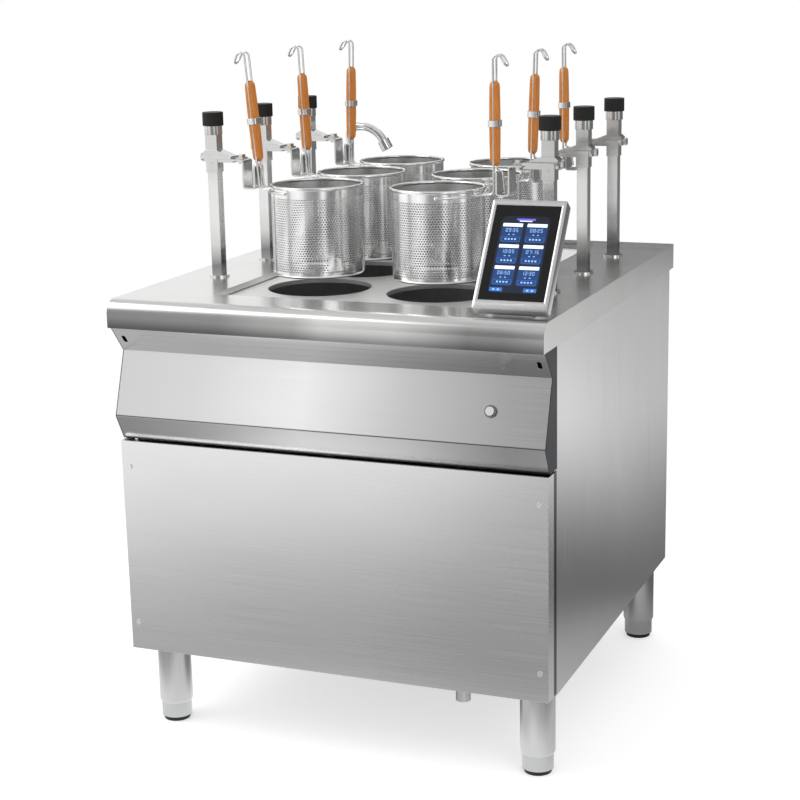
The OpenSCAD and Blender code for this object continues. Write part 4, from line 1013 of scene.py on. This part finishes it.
def make_floor():
    """A white sweep, seen as pure white and still taking the shadow."""
    mesh = bpy.data.meshes.new("floor")
    corners = [(x * FLOOR_HALF, y * FLOOR_HALF, 0) for x, y in ((-1, -1), (1, -1), (1, 1), (-1, 1))]
    mesh.from_pydata(corners, [], [(0, 1, 2, 3)])
    floor = in_scene("floor", mesh)
    material, tree, point = new_material("floor_white_paper")
    material.cycles.emission_sampling = "NONE"
    away = add(tree, "VectorMath", (point,), operation="LENGTH")
    to_white, to_midway, to_far, apron, underneath = (
        add(tree, "MapRange", {"Value": away, "From Min": start, "From Max": end, "To Min": low,
                               "To Max": high}, interpolation_type="SMOOTHSTEP")
        for start, end, low, high in FLOOR_CHANGES)
    paper = add(tree, "BsdfDiffuse", {"Color": colour("#f2f2f2")})
    lift, white = (add(tree, "Emission", (colour("#ffffff"), level)) for level in (FLOOR_GLOW, 1.0))
    near = add(tree, "AddShader", (paper, lift))
    direct = add(tree, "MixShader", (to_white, near, white))
    level = compass(tree, point, CLOSE_BY)
    for change, stops in ((to_midway, MIDWAY), (to_far, FAR_OFF)):
        level = add(tree, "Mix", {"Factor": change, "A": level, "B": compass(tree, point, stops)})
    for change in (apron, underneath):
        level = add(tree, "Math", (level, change), operation="MULTIPLY")
    mirrored = add(tree, "Emission", (colour("#ffffff"), level))
    seen_by_ray(tree, "Material", direct, mirrored, lift)
    mesh.materials.append(material)


def make_tent():
    """The white tent round the object, whose panels show only in steel and glass."""
    world = bpy.data.worlds.new("studio")
    bpy.context.scene.world = world
    tree = cleared(world)
    heading = add(tree, "TexCoord").outputs["Generated"]
    height = add(tree, "SeparateXYZ", (heading,)).outputs["Z"]
    ceiling = add(tree, "MapRange", {"Value": height, "From Min": CEILING_FROM,
                                     "From Max": CEILING_TO}, interpolation_type="SMOOTHSTEP")
    level = add(tree, "Mix", {"Factor": ceiling, "A": compass(tree, heading, TENT), "B": CEILING})
    seen_by_ray(tree, "World", *(add(tree, "Background", (colour("#ffffff"), strength))
                                 for strength in (1.0, level, TENT_GLOW)))


def make_lamps():
    """Three plain soft lamps."""
    for name, spot, size, power in LAMPS:
        lamp = bpy.data.lights.new(name, "AREA")
        lamp.size, lamp.energy = size, power
        holder = in_scene(name, lamp)
        holder.location = spot
        heading = Vector(LAMP_AIM) - Vector(spot)
        holder.rotation_euler = heading.to_track_quat("-Z", "Y").to_euler()


def make_camera():
    """The photograph's view, solved from the object's straight edges."""
    azimuth, height, roll = (math.radians(a) for a in (VIEW_AZIMUTH, VIEW_HEIGHT, VIEW_ROLL))
    right = Vector((math.cos(azimuth), math.sin(azimuth), 0))
    back = Vector((math.sin(azimuth) * math.cos(height), -math.cos(azimuth) * math.cos(height),
                   math.sin(height)))
    up = back.cross(right)
    turned_right = right * math.cos(roll) + up * math.sin(roll)
    turned_up = up * math.cos(roll) - right * math.sin(roll)
    data = bpy.data.cameras.new("photograph")
    data.sensor_width = SENSOR_MM
    data.lens = FOCAL_PIXELS / PHOTO_PIXELS * data.sensor_width
    camera = in_scene("photograph", data)
    turn = Matrix((turned_right, turned_up, back)).transposed().to_4x4()
    camera.matrix_world = Matrix.Translation(CAMERA_AT) @ turn
    bpy.context.scene.camera = camera


make_camera()
dress(rounded_worktop(), "worktop")
dress(sheet_steel("cover_blasted_stainless", "#f2f2f1", "#fbfbfa", "X", 0.5, (60 * MM, 5 * MM)),
      "cover_plate")
dress(folded_front(), "front_panel")
dress(folded_fascia(), "fascia")
dress(sheet_steel("side_brushed_stainless", "#e2e2e2", "#ededed", "Z", 0.22),
      "side_panel_left", "side_panel_right", "back_panel")
dress(sheet_steel("inner_mill_finish_stainless", "#c0c1c1", "#d0d1d1", "Z", 0.4),
      "base_panel", "tank", "drain_pipe", "frame", "lift_drives")
dress(sheet_steel("arm_brushed_stainless", "#cececd", "#e0e0df", "X", 0.17, (40 * MM, 1.2 * MM),
                  0.5 * MM), *stations("arm"))
# The posts take painted shade and sheen up their height
dress(shaded(sheet_steel("post_brushed_square_tube", "#e2e2e1", "#f0f0ef", "Z", 0.15,
                         (90 * MM, 1.2 * MM), 1.2 * MM), "Z", POST_UP), *stations("post"))
dress(sheet_steel("leg_satin_tube", "#d2d2d2", "#dedede", "Z", 0.2, (60 * MM, 2 * MM)), "leg_tubes")
dress(ANODISED, "screen_stand")
dress(bright_steel("screw_heads_zinc_plated", "#f8f8f8", "#ffffff", 0.34, 3 * MM),
      "panel_screws", "power_button")
dress(bright_steel("button_ring_dark_nickel", "#7c7c7c", "#909090", 0.2), "button_ring")
dress(POLISHED, "post_flanges", "heating_elements")
dress(bright_steel("chromed_brass_tap", "#e0e1e2", "#ececed", 0.07), "tap_base", "tap_spout")
# The fascia's end plates are dark grey
dress(coated("end_plate_dark_grey", "#34373a", "#3f4245", 0.5, 1.2 * MM, 0.05 * MM),
      "fascia_ends")
dress(coated("control_box_grey_paint", "#6b7076", "#7a7f85", 0.5, 1.2 * MM, 0.05 * MM),
      "control_box")
dress(coated("lever_red_dipped_vinyl", "#8c1512", "#a81e18", 0.4, 1.5 * MM, 0.1 * MM),
      "valve_handle")
dress(tube_on_rubber("foot_polished_tube_on_rubber", ("#0e0e0e", 0.6), ("#cdcfcf", 0.2), 8.5 * MM),
      "foot_front_left", "foot_front_right", "foot_rear_left", "foot_rear_right")
dress(coated("screen_black_cover_glass", "#040405", "#070709", 0.08, 3 * MM, 0.002 * MM,
             extra={"IOR": 1.4}), "screen_glass")
make_baskets()
make_knobs()
make_screen()
make_page()
make_floor()
make_tent()
make_lamps()

bpy.context.scene.view_settings.view_transform = "Standard"
